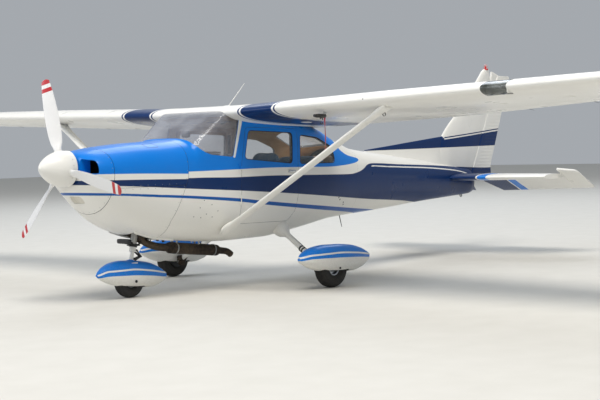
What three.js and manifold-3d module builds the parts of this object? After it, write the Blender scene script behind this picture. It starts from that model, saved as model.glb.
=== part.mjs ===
// Light aircraft: braced high wing, four seats, fixed tricycle gear with wheel fairings.
// Stations in millimetres: x aft of the datum at the firewall, y to starboard, z up from the ground.
import * as THREE from 'three';
import { mergeVertices } from 'three/addons/utils/BufferGeometryUtils.js';
import Module from 'manifold-3d';

const wasm = await Module();
wasm.setup();

// Clearances
const touchGap = 0.3;
const runGap = 8;

// Fuselage
const cowlSkin = 14;
const cabinWall = 40;
const tailSkin = 10;
const finSkin = 9;
const bowlRear = -770;
const cowlSplitZ = 1150;
const cowlJoint = [[150, 1750], [140, 1230], [-40, 790], [-60, 400]];
const firewallX = 155;
const firewallThick = 8;
const cabinRear = 3000;
const bulkheadX = 2540;
const floorZ = 600;
const tailEnd = 5965;

// Propeller
const hub = { x: -1081, z: 1355 };
const thrustTilt = THREE.MathUtils.degToRad(2.8);
const bladePhase = THREE.MathUtils.degToRad(-16.9);
const spinnerRadius = 180;
const spinnerLength = 332;

// Wing
const rootY = 560;
const breakY = 2540;
const tipY = 5410;
const rootChord = 1630;
const tipChord = 1120;
const leadX = 698;
const leadZ = 1876;
const dihedral = 0.0302;
const tipSweep = 60;
const chordTilt = THREE.MathUtils.degToRad(5.7);
const flapFraction = 0.71;
const aileronFraction = 0.76;
const flapInner = 590;
const flapOuter = 2530;
const aileronInner = 2560;
const aileronOuter = 5180;

// Tail
const stabHalf = 1450;
const tailHalf = 1725;
const elevatorHinge = { x: 6005, z: 1040 };
const elevatorDroop = THREE.MathUtils.degToRad(26);
const rudderHinge = [[5966, 1070], [6678, 2429]];

// Landing gear
const mainWheel = { x: 1492, y: 1250, radius: 210, width: 150, rim: 78 };
const noseWheel = { x: -262, y: 0, radius: 172, width: 118, rim: 64 };

// Doors
const doorHinge = { x: 862, y: 559 };

const paint = {
  white: ['#e9ebec', 0.3, 0.1],
  blue: ['#0f63c4', 0.3, 0.1],
  navy: ['#142f74', 0.3, 0.1],
  metal: ['#8d9196', 0.4, 0.9],
  dark: ['#2a2523', 0.6, 0.6],
  rubber: ['#17181a', 0.9, 0],
  glass: ['#aab6bd', 0.05, 0],
  trim: ['#b7a58c', 0.8, 0],
  seat: ['#24496f', 0.9, 0],
  red: ['#d2391f', 0.3, 0],
};

const aircraft = new THREE.Group();

// Geometry helpers

// Closes a shell given as points and triangles; its faces are turned outwards.
function closedGeometry(points, triangles) {
  const volume = triangles.reduce((sum, [a, b, c]) => {
    const cross = new THREE.Vector3().crossVectors(points[b], points[c]);
    return sum + points[a].dot(cross);
  }, 0);
  const order = volume > 0 ? triangles : triangles.map(([a, b, c]) => [a, c, b]);
  const geometry = new THREE.BufferGeometry();
  geometry.setFromPoints(points);
  geometry.setIndex(order.flat());
  return geometry;
}

// Joins rings with equal point counts into one closed skin, with a fan over each end.
function loft(rings) {
  const count = rings[0].length;
  const points = rings.flat();
  const triangles = [];
  for (let r = 0; r < rings.length - 1; r += 1) {
    for (let i = 0; i < count; i += 1) {
      const a = r * count + i;
      const b = r * count + (i + 1) % count;
      triangles.push([a, b, b + count], [a, b + count, a + count]);
    }
  }
  const ends = [[0, true], [rings.length - 1, false]];
  for (const [r, first] of ends) {
    const middle = new THREE.Vector3();
    rings[r].forEach((point) => middle.addScaledVector(point, 1 / count));
    points.push(middle);
    const centre = points.length - 1;
    for (let i = 0; i < count; i += 1) {
      const a = r * count + i;
      const b = r * count + (i + 1) % count;
      triangles.push(first ? [centre, b, a] : [centre, a, b]);
    }
  }
  return closedGeometry(points, triangles);
}

function solidOf(geometry) {
  let clean = geometry.index ? geometry.clone() : geometry;
  clean.deleteAttribute('normal');
  clean.deleteAttribute('uv');
  clean = mergeVertices(clean, 1e-3);
  return new wasm.Manifold(new wasm.Mesh({
    numProp: 3,
    vertProperties: new Float32Array(clean.attributes.position.array),
    triVerts: new Uint32Array(clean.index.array),
  }));
}

function geometryOf(solid) {
  const mesh = solid.getMesh();
  const geometry = new THREE.BufferGeometry();
  geometry.setAttribute('position', new THREE.BufferAttribute(mesh.vertProperties, 3));
  geometry.setIndex(new THREE.BufferAttribute(mesh.triVerts, 1));
  return geometry;
}

function addPiece(name, shape, [color, roughness, metalness], parent = aircraft) {
  const geometry = shape.isBufferGeometry ? shape : geometryOf(shape);
  const material = new THREE.MeshStandardMaterial({ color, roughness, metalness });
  const mesh = new THREE.Mesh(geometry, material);
  mesh.name = name;
  parent.add(mesh);
  return mesh;
}

function box(x0, x1, y0, y1, z0, z1) {
  const geometry = new THREE.BoxGeometry(x1 - x0, y1 - y0, z1 - z0);
  geometry.translate((x0 + x1) / 2, (y0 + y1) / 2, (z0 + z1) / 2);
  return solidOf(geometry);
}

// Corners of a polygon, each rounded by the given radius.
function roundedShape(corners, radius) {
  const shape = new THREE.Shape();
  corners.forEach(([x, y], i) => {
    const here = new THREE.Vector2(x, y);
    const before = new THREE.Vector2(...corners[(i + corners.length - 1) % corners.length]);
    const after = new THREE.Vector2(...corners[(i + 1) % corners.length]);
    const start = here.clone().add(before.sub(here).setLength(radius));
    const end = here.clone().add(after.sub(here).setLength(radius));
    if (i === 0) shape.moveTo(start.x, start.y);
    else shape.lineTo(start.x, start.y);
    shape.quadraticCurveTo(x, y, end.x, end.y);
  });
  shape.closePath();
  return shape;
}

// The same polygon with every side moved out by the margin.
function grown(corners, margin) {
  const area = THREE.ShapeUtils.area(corners.map(([x, y]) => new THREE.Vector2(x, y)));
  const side = area > 0 ? 1 : -1;
  return corners.map(([x, y], i) => {
    const a = corners[(i + corners.length - 1) % corners.length];
    const b = corners[(i + 1) % corners.length];
    const n1 = new THREE.Vector2(y - a[1], a[0] - x).normalize();
    const n2 = new THREE.Vector2(b[1] - y, x - b[0]).normalize();
    const out = n1.clone().add(n2).normalize();
    const reach = side * margin / Math.max(0.4, out.dot(n1));
    return [x + out.x * reach, y + out.y * reach];
  });
}

// A polygon in the x-z plane carried from y0 to y1.
function sidePrism(corners, y0, y1, radius = 0, steps = 3) {
  const shape = radius > 0 ? roundedShape(corners, radius)
    : new THREE.Shape(corners.map(([x, z]) => new THREE.Vector2(x, z)));
  const geometry = new THREE.ExtrudeGeometry(shape,
    { depth: y1 - y0, bevelEnabled: false, curveSegments: steps });
  geometry.rotateX(Math.PI / 2);
  geometry.translate(0, y1, 0);
  return solidOf(geometry);
}

// A polygon in the x-y plane carried from z0 to z1.
function planPrism(corners, z0, z1) {
  const shape = new THREE.Shape(corners.map(([x, y]) => new THREE.Vector2(x, y)));
  const geometry = new THREE.ExtrudeGeometry(shape, { depth: z1 - z0, bevelEnabled: false });
  geometry.translate(0, 0, z0);
  return solidOf(geometry);
}

function rod(from, to, radius, sides = 12) {
  const start = new THREE.Vector3(...from);
  const along = new THREE.Vector3(...to).sub(start);
  const geometry = new THREE.CylinderGeometry(radius, radius, along.length(), sides);
  geometry.translate(0, along.length() / 2, 0);
  const turn = new THREE.Quaternion().setFromUnitVectors(new THREE.Vector3(0, 1, 0),
    along.clone().normalize());
  geometry.applyQuaternion(turn);
  geometry.translate(start.x, start.y, start.z);
  return solidOf(geometry);
}

// A tube through points, each with its own radius.
function taperedTube(stops, sides = 10) {
  const centres = stops.map(([x, y, z]) => new THREE.Vector3(x, y, z));
  const rings = centres.map((centre, i) => {
    const before = centres[Math.max(0, i - 1)];
    const after = centres[Math.min(centres.length - 1, i + 1)];
    const along = after.clone().sub(before).normalize();
    const side = new THREE.Vector3(1, 0, 0).addScaledVector(along, -along.x).normalize();
    const up = new THREE.Vector3().crossVectors(along, side);
    return Array.from({ length: sides }, (_, k) => {
      const angle = k / sides * 2 * Math.PI;
      return centre.clone().addScaledVector(side, Math.cos(angle) * stops[i][3])
        .addScaledVector(up, Math.sin(angle) * stops[i][3]);
    });
  });
  return loft(rings);
}

function mirrored(geometry) {
  const copy = geometry.clone();
  copy.scale(1, -1, 1);
  const index = copy.index.array;
  for (let i = 0; i < index.length; i += 3) [index[i], index[i + 1]] = [index[i + 1], index[i]];
  return copy;
}

// Makes the port piece as given and the starboard one by mirror image.
function addPair(name, shape, finish) {
  const port = shape.isBufferGeometry ? shape : geometryOf(shape);
  addPiece(`${name}_port`, port, finish);
  addPiece(`${name}_starboard`, mirrored(port), finish);
}

// A hinge between a fixed surface and a moving one: a plate with a round eye on the fixed side,
// and the slot and bore that leave it free in the moving side.
const eyeRadius = 10;
function plainHinge(centre, axis, forward, reach, room = 90) {
  const along = new THREE.Vector3(...axis).normalize();
  const ahead = new THREE.Vector3(...forward);
  ahead.addScaledVector(along, -ahead.dot(along)).normalize();
  const up = new THREE.Vector3().crossVectors(ahead, along);
  const frame = new THREE.Matrix4().makeBasis(ahead, along, up).setPosition(...centre);
  const place = (solid) => solidOf(geometryOf(solid).applyMatrix4(frame));
  const plate = box(0, reach, -6, 6, -5, 5).add(rod([0, -6, 0], [0, 6, 0], eyeRadius, 16));
  const slot = box(0, reach, -14, 14, -room, room)
    .add(rod([0, -14, 0], [0, 14, 0], eyeRadius + 0.5, 16));
  return { plate: place(plate), slot: place(slot) };
}

// Fuselage skin
// Each station is a rounded box: bottom, top, half width, height of the widest line, and how
// square the upper and lower corners are.
const stations = [
  // x, bottom, top, half, widest, upper, lower
  [-1000, 1180, 1470, 250, 1330, 2.1, 2.1],
  [-975, 1130, 1497, 330, 1328, 2.2, 2.0],
  [-930, 1070, 1515, 378, 1322, 2.3, 1.9],
  [-860, 985, 1532, 412, 1310, 2.4, 1.9],
  [-770, 890, 1548, 436, 1295, 2.5, 2.0],
  [-600, 762, 1568, 460, 1278, 2.7, 2.15],
  [-330, 655, 1591, 484, 1258, 2.9, 2.4],
  [-60, 590, 1604, 505, 1245, 3.0, 2.7],
  [250, 556, 1622, 527, 1230, 3.3, 2.9],
  [480, 535, 1778, 540, 1215, 6, 3.0],
  [600, 523, 1855, 545, 1208, 9, 3.1],
  [720, 512, 1938, 548, 1200, 12, 3.2],
  [1000, 503, 1990, 552, 1190, 8, 3.3],
  [1500, 506, 1950, 550, 1190, 6, 3.3],
  [1900, 542, 1865, 538, 1190, 5, 3.1],
  [2330, 596, 1752, 505, 1185, 3.8, 3.0],
  [2700, 642, 1622, 458, 1170, 3.2, 2.8],
  [3100, 665, 1490, 402, 1150, 2.8, 2.6],
  [3700, 692, 1415, 325, 1120, 2.5, 2.4],
  [4700, 752, 1300, 205, 1080, 2.3, 2.3],
  [5500, 790, 1195, 122, 1040, 2.2, 2.2],
  [5870, 808, 1145, 86, 1000, 2.2, 2.2],
  [5965, 830, 1110, 62, 980, 2.2, 2.2],
].map(([x, bottom, top, half, widest, upper, lower]) => (
  { x, bottom, top, half, widest, upper, lower }));

function stationAt(x) {
  const after = stations.findIndex((s) => s.x > x);
  const k = after < 0 ? stations.length - 2 : Math.max(0, after - 1);
  const [a, b] = [stations[k], stations[k + 1]];
  const t = (x - a.x) / (b.x - a.x);
  return Object.fromEntries(Object.keys(a).map((key) => [key, a[key] + (b[key] - a[key]) * t]));
}

function bodyRing(x, inset, sides = 20) {
  const s = stationAt(x);
  return Array.from({ length: sides }, (_, i) => {
    const angle = (i + 0.5) / sides * 2 * Math.PI;
    const [c, n] = [Math.cos(angle), Math.sin(angle)];
    const power = 2 / (n > 0 ? s.upper : s.lower);
    const reach = (n > 0 ? s.top - s.widest : s.widest - s.bottom) - inset;
    return new THREE.Vector3(x, Math.sign(c) * Math.abs(c) ** power * (s.half - inset),
      s.widest + Math.sign(n) * Math.abs(n) ** power * reach);
  });
}

function body(from, to, inset) {
  const inner = stations.map((s) => s.x).filter((x) => x > from + 1 && x < to - 1);
  return solidOf(loft([from, ...inner, to].map((x) => bodyRing(x, inset))));
}

const flip = (solid) => solidOf(mirrored(geometryOf(solid)));
const bodyOuter = body(stations[0].x, tailEnd, 0);
const bodyBoth = bodyOuter.add(flip(bodyOuter));
const farX = 20000;
const farY = 7000;

// Wing sections
// Four-digit section: half thickness and camber line as fractions of the chord.
function foilAt(f, thickness, camber) {
  const half = 5 * thickness * (0.2969 * Math.sqrt(f) - 0.126 * f - 0.3516 * f ** 2
    + 0.2843 * f ** 3 - 0.1036 * f ** 4);
  const crest = 0.4;
  const line = f < crest ? camber / crest ** 2 * (2 * crest * f - f * f)
    : camber / (1 - crest) ** 2 * (1 - 2 * crest + 2 * crest * f - f * f);
  return { up: line + half, low: line - half };
}

// Outline of a section from fraction a to fraction b. A moving surface gets a round nose.
function foilOutline(chord, a, b, thickness, camber, blunt = 0.0015) {
  const fractions = [0, 0.02, 0.07, 0.16, 0.3, 0.5, 0.7, 0.86, 1].map((f) => a + (b - a) * f);
  const edge = fractions.map((f) => foilAt(f, thickness, camber));
  edge.forEach((point) => {
    point.up = Math.max(point.up, point.low + 2 * blunt);
  });
  const upper = fractions.map((f, i) => [f * chord, edge[i].up * chord]);
  const lower = fractions.map((f, i) => [f * chord, edge[i].low * chord]);
  if (a === 0) return [...upper.reverse(), ...lower.slice(1)];
  const radius = (upper[0][1] - lower[0][1]) / 2;
  const middle = (upper[0][1] + lower[0][1]) / 2;
  const nose = [1, 2, 3, 4, 5].map((k) => {
    const angle = k / 6 * Math.PI;
    return [a * chord - radius * Math.sin(angle), middle + radius * Math.cos(angle)];
  });
  return [...upper.reverse(), ...nose, ...lower];
}

function wingStation(y) {
  const outboard = Math.max(0, (Math.abs(y) - breakY) / (tipY - breakY));
  return {
    x: leadX + tipSweep * outboard,
    z: leadZ + dihedral * Math.abs(y),
    chord: rootChord + (tipChord - rootChord) * outboard,
  };
}

function wingPoint(y, along, up) {
  const s = wingStation(y);
  const [c, n] = [Math.cos(chordTilt), Math.sin(chordTilt)];
  return new THREE.Vector3(s.x + along * c + up * n, y, s.z - along * n + up * c);
}

const wingThickness = 0.12;
const wingCamber = 0.02;

function wingRing(y, a, b, scale = 1) {
  const outline = foilOutline(wingStation(y).chord, a, b, wingThickness * scale, wingCamber);
  return outline.map(([along, up]) => wingPoint(y, along, up));
}

// Roof, the wing's centre section
const roofSolid = solidOf(loft([-rootY, rootY].map((y) => {
  const ring = wingRing(-rootY, 0, 1);
  return ring.map((point) => new THREE.Vector3(point.x, y, point.z));
})));
const roofCut = solidOf(loft([-rootY - 40, rootY + 40].map((y) => {
  const outline = foilOutline(rootChord, 0, 1, wingThickness, wingCamber);
  return grown(outline, touchGap).map(([along, up]) => {
    const point = wingPoint(-rootY, along, up);
    return new THREE.Vector3(point.x, y, point.z);
  });
})));
const aerials = [[[1240, 0, 1960], [1532, 0, 2246]], [[1690, 0, 1850], [1880, 0, 2130]]];
addPiece('cabin_roof', aerials.reduce((whole, [foot, tip]) => whole.add(rod(foot, tip, 6, 8)),
  roofSolid), paint.white);

// Wings
const controlGap = 9;
const tipRings = [[tipY, 0, 1, 1], [5450, 0.01, 0.98, 0.72], [5475, 0.04, 0.93, 0.3]]
  .map(([y, a, b, scale]) => wingRing(-y, 0, 1, scale).map((point) => {
    const s = wingStation(y);
    const along = (point.x - s.x) / s.chord;
    return new THREE.Vector3(s.x + s.chord * (a + (b - a) * along), point.y, point.z);
  }));
const wingSkin = loft([...[rootY + touchGap, breakY].map((y) => wingRing(-y, 0, 1)), ...tipRings]);
function noseRadius(y, fraction) {
  const { up, low } = foilAt(fraction, wingThickness, wingCamber);
  return (up - low) / 2 * wingStation(y).chord;
}
function hingeX(y, fraction, back = 0) {
  return wingPoint(y, fraction * wingStation(y).chord, 0).x - back;
}
function cove(inner, outer, fraction, depth) {
  const near = hingeX(inner, fraction, noseRadius(inner, fraction) + depth);
  const far = hingeX(outer, fraction, noseRadius(outer, fraction) + depth);
  return planPrism([[near, -inner], [3000, -inner], [3000, -outer], [far, -outer]], 1500, 2600);
}
const lightWindow = box(600, 830, -3990, -3720, 1900, 2080);
const wingSolid = solidOf(wingSkin)
  .subtract(cove(flapInner - 40, flapOuter + 6, flapFraction, controlGap))
  .subtract(cove(aileronInner - 6, aileronOuter + 14, aileronFraction, controlGap));
const lightLens = solidOf(loft([4010, 3700].map((y) => wingRing(-y, 0, 1)))).intersect(
  box(600, 830 - touchGap, -3990 + touchGap, -3720 - touchGap, 1900, 2080));
const pitotY = -1780;
const pitot = rod([860, pitotY, 1812], [700, pitotY, 1814], 13, 10)
  .add(rod([835, pitotY, 1812], [880, pitotY, 1910], 9, 8));
const aileronAxisAt = (y) => {
  const { up, low } = foilAt(aileronFraction, wingThickness, wingCamber);
  const { chord } = wingStation(y);
  return wingPoint(-y, aileronFraction * chord, (up + low) / 2 * chord);
};
const aileronEnds = [aileronInner, aileronOuter].map(aileronAxisAt);
const aileronAxis = aileronEnds[1].clone().sub(aileronEnds[0]);
const aileronHinges = [0.14, 0.5, 0.86].map((t) => plainHinge(
  aileronEnds[0].clone().addScaledVector(aileronAxis, t).toArray(), aileronAxis.toArray(),
  [-1, 0, 0], 75));
// Flap tracks: plates fixed to the wing that the flap's slots slide back from.
const trackTip = 55;
const flapTracks = [900, 2200].map((y) => {
  const tip = wingPoint(-y, flapFraction * rootChord + trackTip, 0);
  return {
    plate: box(tip.x - 170, tip.x, -y - 6, -y + 6, tip.z - 18, tip.z + 6),
    slot: box(tip.x - 170, tip.x + touchGap, -y - 18, -y + 18, tip.z - 200, tip.z + 26),
  };
});
const joined = (solids, first) => solids.reduce((whole, solid) => whole.add(solid), first);
const without = (solids, first) => solids.reduce((whole, solid) => whole.subtract(solid), first);
const wingFitted = joined([...flapTracks, ...aileronHinges].map((part) => part.plate), wingSolid);
addPiece('wing_port', wingFitted.subtract(lightWindow).add(pitot), paint.white);
addPiece('wing_starboard', mirrored(geometryOf(wingFitted)), paint.white);
addPiece('landing_light', lightLens, paint.glass);
const flapSolid = loft([flapInner + 10, flapOuter - 6].map((y) => wingRing(-y, flapFraction, 1)));
addPair('flap', without(flapTracks.map((part) => part.slot), solidOf(flapSolid)), paint.white);
const aileronSolid = loft([aileronInner + 8, aileronOuter]
  .map((y) => wingRing(-y, aileronFraction, 1)));
addPair('aileron', without(aileronHinges.map((part) => part.slot), solidOf(aileronSolid)),
  paint.white);

// Wing struts, with a cuff at each end
const strutFoot = { x: 660, y: 520, z: 648 };
const strutHead = { x: 885, y: 2520, z: 1866 };
const strutRows = [
  // y, half chord, half height
  [470, 84, 62], [560, 98, 66], [640, 78, 42], [720, 64, 29],
  [2380, 64, 29], [2450, 76, 34], [2580, 92, 44],
];
const strutRings = strutRows.map(([y, reach, height]) => {
  const t = (y - strutFoot.y) / (strutHead.y - strutFoot.y);
  const x = strutFoot.x + (strutHead.x - strutFoot.x) * t;
  const z = strutFoot.z + (strutHead.z - strutFoot.z) * t;
  return Array.from({ length: 14 }, (_, i) => {
    const angle = i / 14 * 2 * Math.PI;
    return new THREE.Vector3(x + reach * Math.cos(angle), -y, z + height * Math.sin(angle));
  });
});
const strut = solidOf(loft(strutRings))
  .subtract(solidOf(wingSkin).translate([0, 0, -touchGap]))
  .subtract(box(0, 2000, -3000, 0, 1925, 2300))
  .subtract(bodyBoth.translate([0, -touchGap, 0]))
  .subtract(box(0, 2000, -430, 0, 300, 2300));
const tieDownRing = rod([900, -2490, 1860], [900, -2490, 1800], 11, 10);
addPair('wing_strut', strut.add(tieDownRing), paint.white);

// Cabin, doors and windows
const cabinInner = body(-150, cabinRear + 50, cabinWall);
const cabinSkin = bodyOuter.subtract(cabinInner);
const windshieldCorners = [
  [262, 1660], [286, 1562], [327, 1514], [381, 1478], [464, 1452], [764, 1422],
  [809, 1607], [860, 1798], [895, 1990], [400, 1990],
];
const doorCorners = [
  [868, 705], [888, 1330], [960, 1735], [1800, 1715], [1796, 1000], [1755, 800], [1660, 690],
];
const doorWindow = [[940, 1398], [1004, 1700], [1714, 1670], [1698, 1330]];
const rearWindow = [[1832, 1322], [1852, 1645], [2192, 1612], [2468, 1502], [2506, 1318]];
const backWindow = [[2420, 1560], [2420, 1900], [2920, 1900], [2920, 1535], [2800, 1520]];

const cowlRegion = sidePrism([...cowlJoint, [-2000, 400], [-2000, 1750]], -farY, farY);
const cowlRegionCut = cowlRegion.translate([touchGap, 0, 0]);
const windshieldCut = sidePrism(grown(windshieldCorners, touchGap), -farY, farY, 25);
const doorCut = sidePrism(grown(doorCorners, runGap), -farY, farY, 40);
const rearWindowCut = sidePrism(grown(rearWindow, touchGap), -farY, farY, 45);
const doorWindowCut = sidePrism(grown(doorWindow, touchGap), -farY, farY, 45);
const backWindowCut = sidePrism(grown(backWindow, touchGap), -380, 380);

const cabinShell = cabinSkin
  .intersect(box(-500, cabinRear, -farY, farY, 0, 3000))
  .subtract(cowlRegionCut)
  .subtract(roofCut)
  .subtract(box(leadX + 60, 2300, -farY, farY, 1870, 2200))
  .subtract(windshieldCut)
  .subtract(doorCut)
  .subtract(rearWindowCut)
  .subtract(backWindowCut);
const largest = (solid) => solid.decompose()
  .sort((a, b) => b.volume() - a.volume())[0];

// Door hinges: barrels just outside the skin, on one upright axis a side.
const hingeHeights = [960, 1300];
const barrelRadius = 8;
const leafReach = 46;
function hingeBarrels(from, to, side) {
  const ends = [0, leafReach].map((reach) => doorHinge.x + side * reach).sort((a, b) => a - b);
  const feet = [22, leafReach].map((reach) => doorHinge.x + side * reach).sort((a, b) => a - b);
  const { y } = doorHinge;
  return hingeHeights.map((z) => rod([doorHinge.x, -y, z + from], [doorHinge.x, -y, z + to],
    barrelRadius)
    .add(box(...ends, -y - 4, -y + 6, z + from, z + to))
    .add(box(...feet, -y - 4, -y + 30, z + from, z + to)));
}
const doorBarrels = hingeBarrels(-25, 25, 1);
const postBarrels = [...hingeBarrels(25.5, 60, -1), ...hingeBarrels(-60, -25.5, -1)];
const shellWithHinges = [...postBarrels, ...postBarrels.map(flip)]
  .reduce((whole, barrel) => whole.add(barrel), largest(cabinShell));
addPiece('cabin_shell', shellWithHinges, paint.blue);

const doorSolid = cabinSkin
  .intersect(sidePrism(doorCorners, -farY, 0, 40))
  .subtract(doorWindowCut);
addPair('door', doorBarrels.reduce((whole, barrel) => whole.add(barrel), largest(doorSolid)),
  paint.blue);

// Glass
const glassOuter = body(100, cabinRear, 10);
const glassSkin = glassOuter.subtract(body(90, cabinRear + 10, 17));
const windshield = glassSkin.intersect(sidePrism(windshieldCorners, -farY, farY, 25))
  .subtract(roofCut);
addPiece('windshield', largest(windshield), paint.glass);
const doorGlass = glassSkin.intersect(sidePrism(doorWindow, -farY, 0, 45));
addPair('door_window', largest(doorGlass), paint.glass);
const rearGlass = glassSkin.intersect(sidePrism(rearWindow, -farY, 0, 45));
addPair('rear_side_window', largest(rearGlass), paint.glass);
const backGlass = glassSkin.intersect(sidePrism(backWindow, -380 + touchGap, 380 - touchGap));
addPiece('rear_window', largest(backGlass.subtract(roofCut)), paint.glass);

// Cabin floor, panel, bulkheads, seats
const fitting = body(-150, cabinRear + 50, cabinWall + touchGap);
const softRoom = body(-150, cabinRear + 50, cabinWall + 9);
addPiece('firewall', fitting.intersect(box(firewallX, firewallX + firewallThick, -farY, farY,
  0, 2000)), paint.metal);
const panel = fitting.intersect(sidePrism([[330, 1452], [600, 1452], [600, 1140], [622, 1140],
  [622, 1474], [330, 1474]], -farY, farY));
const bulkhead = fitting.intersect(box(bulkheadX + touchGap, bulkheadX + 12, -farY, farY, 0, 1390))
  .add(fitting.intersect(box(bulkheadX - 40, cabinRear - 60, -farY, farY, 1380, 1392)));
addPiece('baggage_bulkhead', largest(bulkhead), paint.trim);

const seatY = 265;
const seatBase = solidOf(new THREE.BoxGeometry(430, 360, 12).translate(1330, -seatY, 780))
  .add(box(1160, 1180, -seatY - 150, -seatY + 150, floorZ + 20, 780))
  .add(box(1480, 1500, -seatY - 150, -seatY + 150, floorZ + 20, 780));
const floorPlate = fitting.intersect(box(firewallX + firewallThick + touchGap, bulkheadX,
  -farY, farY, floorZ, floorZ + 22));
addPiece('cabin_floor', floorPlate.add(seatBase.intersect(softRoom))
  .add(flip(seatBase.intersect(softRoom))), paint.trim);
const seatProfile = [
  [1090, 786.3], [1545, 786.3], [1760, 1455], [1650, 1465], [1500, 930], [1090, 900],
];
addPair('front_seat', sidePrism(seatProfile, -seatY - 215, -seatY + 215, 28, 2)
  .intersect(softRoom), paint.seat);
const benchProfile = [
  [1970, 622.5], [2420, 622.5], [2525, 1360], [2420, 1370], [2330, 900], [1970, 860],
];
addPiece('rear_bench', sidePrism(benchProfile, -430, 430, 24, 2).intersect(softRoom), paint.seat);
const controlWheels = [-1, 1].map((side) => {
  const column = rod([610, side * seatY, 1290], [760, side * seatY, 1290], 12, 10);
  const wheel = box(755, 785, side * seatY - 130, side * seatY + 130, 1275, 1305)
    .add(box(755, 785, side * seatY - 140, side * seatY - 112, 1275, 1400))
    .add(box(755, 785, side * seatY + 112, side * seatY + 140, 1275, 1400));
  return column.add(wheel);
});
addPiece('instrument_panel', panel.add(controlWheels[0]).add(controlWheels[1]), paint.dark);

// Engine cowling
const cowlInner = body(stations[0].x + 30, 400, cowlSkin);
const cowlSolid = bodyOuter.subtract(cowlInner).intersect(cowlRegion);
const shaftHole = rod([-1200, 0, hub.z + 6], [-700, 0, hub.z - 18], 62, 20);
const intakes = [-1, 1].map((side) => solidOf(new THREE.ExtrudeGeometry(
  roundedShape([[200, 1300], [372, 1300], [372, 1400], [310, 1455], [200, 1462]], 20),
  { depth: 400, bevelEnabled: false, curveSegments: 3 })
  .applyMatrix4(new THREE.Matrix4().set(0, 0, 1, -1150, 1, 0, 0, 0, 0, 1, 0, 0, 0, 0, 0, 1)))
  .scale([1, side, 1]));
const airScoop = box(-1100, -700, -95, 95, 1000, 1075);
const bowl = cowlSolid.intersect(box(-2000, bowlRear, -farY, farY, 0, 3000))
  .subtract(shaftHole).subtract(intakes[0]).subtract(intakes[1]).subtract(airScoop);
addPiece('nose_bowl', largest(bowl), paint.blue);
const rearCowl = cowlSolid.intersect(box(bowlRear + touchGap, 1000, -farY, farY, 0, 3000));
const lowerOpening = box(-340, 200, -190, 190, 300, 700);
addPiece('cowl_upper', largest(rearCowl.intersect(box(-2000, 1000, -farY, farY,
  cowlSplitZ + touchGap, 3000))), paint.blue);
addPiece('cowl_lower', largest(rearCowl.intersect(box(-2000, 1000, -farY, farY, 0, cowlSplitZ))
  .subtract(lowerOpening)), paint.white);

// Engine and its mount
const engineRear = -130;
const engineBase = 1060;
const mountEnds = [[-1, 1080], [1, 1080], [-1, 1380], [1, 1380]];
const engine = mountEnds.reduce((whole, [side, z]) => whole.add(rod([engineRear - 20, side * 270, z],
  [firewallX - touchGap, side * 270, z], 14, 8)), box(-735, engineRear, -320, 320, engineBase, 1445));
addPiece('engine_block', engine, paint.metal);

// Propeller: everything on it turns about the tilted thrust line
const propeller = new THREE.Group();
propeller.position.set(hub.x, 0, hub.z);
propeller.rotation.y = thrustTilt;
aircraft.add(propeller);
const spinnerBack = 62;
const spinnerTip = spinnerBack - spinnerLength;
const spinnerProfile = Array.from({ length: 8 }, (_, i) => {
  const t = i / 7;
  return new THREE.Vector2(spinnerRadius * Math.sin(t * Math.PI / 2) ** 0.86,
    spinnerTip + (spinnerLength - 40) * (1 - Math.cos(t * Math.PI / 2)));
});
spinnerProfile[0].x = 0;
spinnerProfile.push(new THREE.Vector2(spinnerRadius, spinnerBack), new THREE.Vector2(0, spinnerBack));
const spinnerSolid = solidOf(new THREE.LatheGeometry(spinnerProfile, 20).rotateZ(-Math.PI / 2));
const bladeRows = [
  // radius, chord, thickness, pitch in degrees
  [70, 74, 66, 40], [190, 78, 58, 40], [270, 118, 30, 38], [400, 146, 20, 33],
  [560, 152, 15, 27], [730, 138, 11, 22], [860, 112, 8, 19], [918, 82, 6, 18], [933, 40, 5, 18],
];
const bladeRings = bladeRows.map(([radius, chord, thickness, pitch]) => {
  const twist = THREE.MathUtils.degToRad(pitch);
  return Array.from({ length: 12 }, (_, i) => {
    const angle = i / 12 * 2 * Math.PI;
    const along = chord / 2 * Math.cos(angle);
    const up = thickness / 2 * Math.sin(angle);
    return new THREE.Vector3(-along * Math.sin(twist) + up * Math.cos(twist),
      along * Math.cos(twist) + up * Math.sin(twist), radius);
  });
});
const bladeShape = loft(bladeRings);
const rootHole = rod([0, 0, 70 - touchGap], [0, 0, 250], 42, 16);
const spinAngle = (i) => bladePhase + i * 2 * Math.PI / 3;
let spinnerCut = spinnerSolid;
for (let i = 0; i < 3; i += 1) {
  const turned = geometryOf(rootHole).rotateX(spinAngle(i));
  spinnerCut = spinnerCut.subtract(solidOf(turned));
}
const shaft = rod([spinnerBack - 1, 0, 0], [-737.8 - hub.x, 0, 0], 48, 16);
addPiece('spinner', spinnerCut.add(shaft), paint.white, propeller);
for (let i = 0; i < 3; i += 1) {
  const blade = addPiece(`propeller_blade_${i + 1}`, bladeShape, paint.white, propeller);
  blade.rotation.x = spinAngle(i);
}

// Tailcone
const tailSolid = bodyOuter.intersect(box(cabinRear + touchGap, tailEnd, -farY, farY, 0, 3000))
  .subtract(body(cabinRear - 50, 5700, tailSkin))
  .subtract(sidePrism([[5900, 1062], [6200, 1062], [6200, 1300], [5945, 1300]], -farY, farY));
const tieDown = rod([5840, 0, 830], [5840, 0, 762], 10, 10);
const bellyAerial = rod([3120, 0, 680], [3170, 0, 515], 6, 8);
addPiece('tailcone', tailSolid.add(tieDown).add(bellyAerial), paint.navy);

// Tailplane: symmetrical sections; the elevator hangs from one hinge line
const tailThickness = 0.085;
function tailOutline(chord, a, b) {
  return foilOutline(chord, a, b, tailThickness, 0, 0.003);
}
const stabRows = [
  // y, leading edge
  [-stabHalf, 5520], [0, 5225], [stabHalf, 5520],
];
const elevatorGap = 10;
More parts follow.
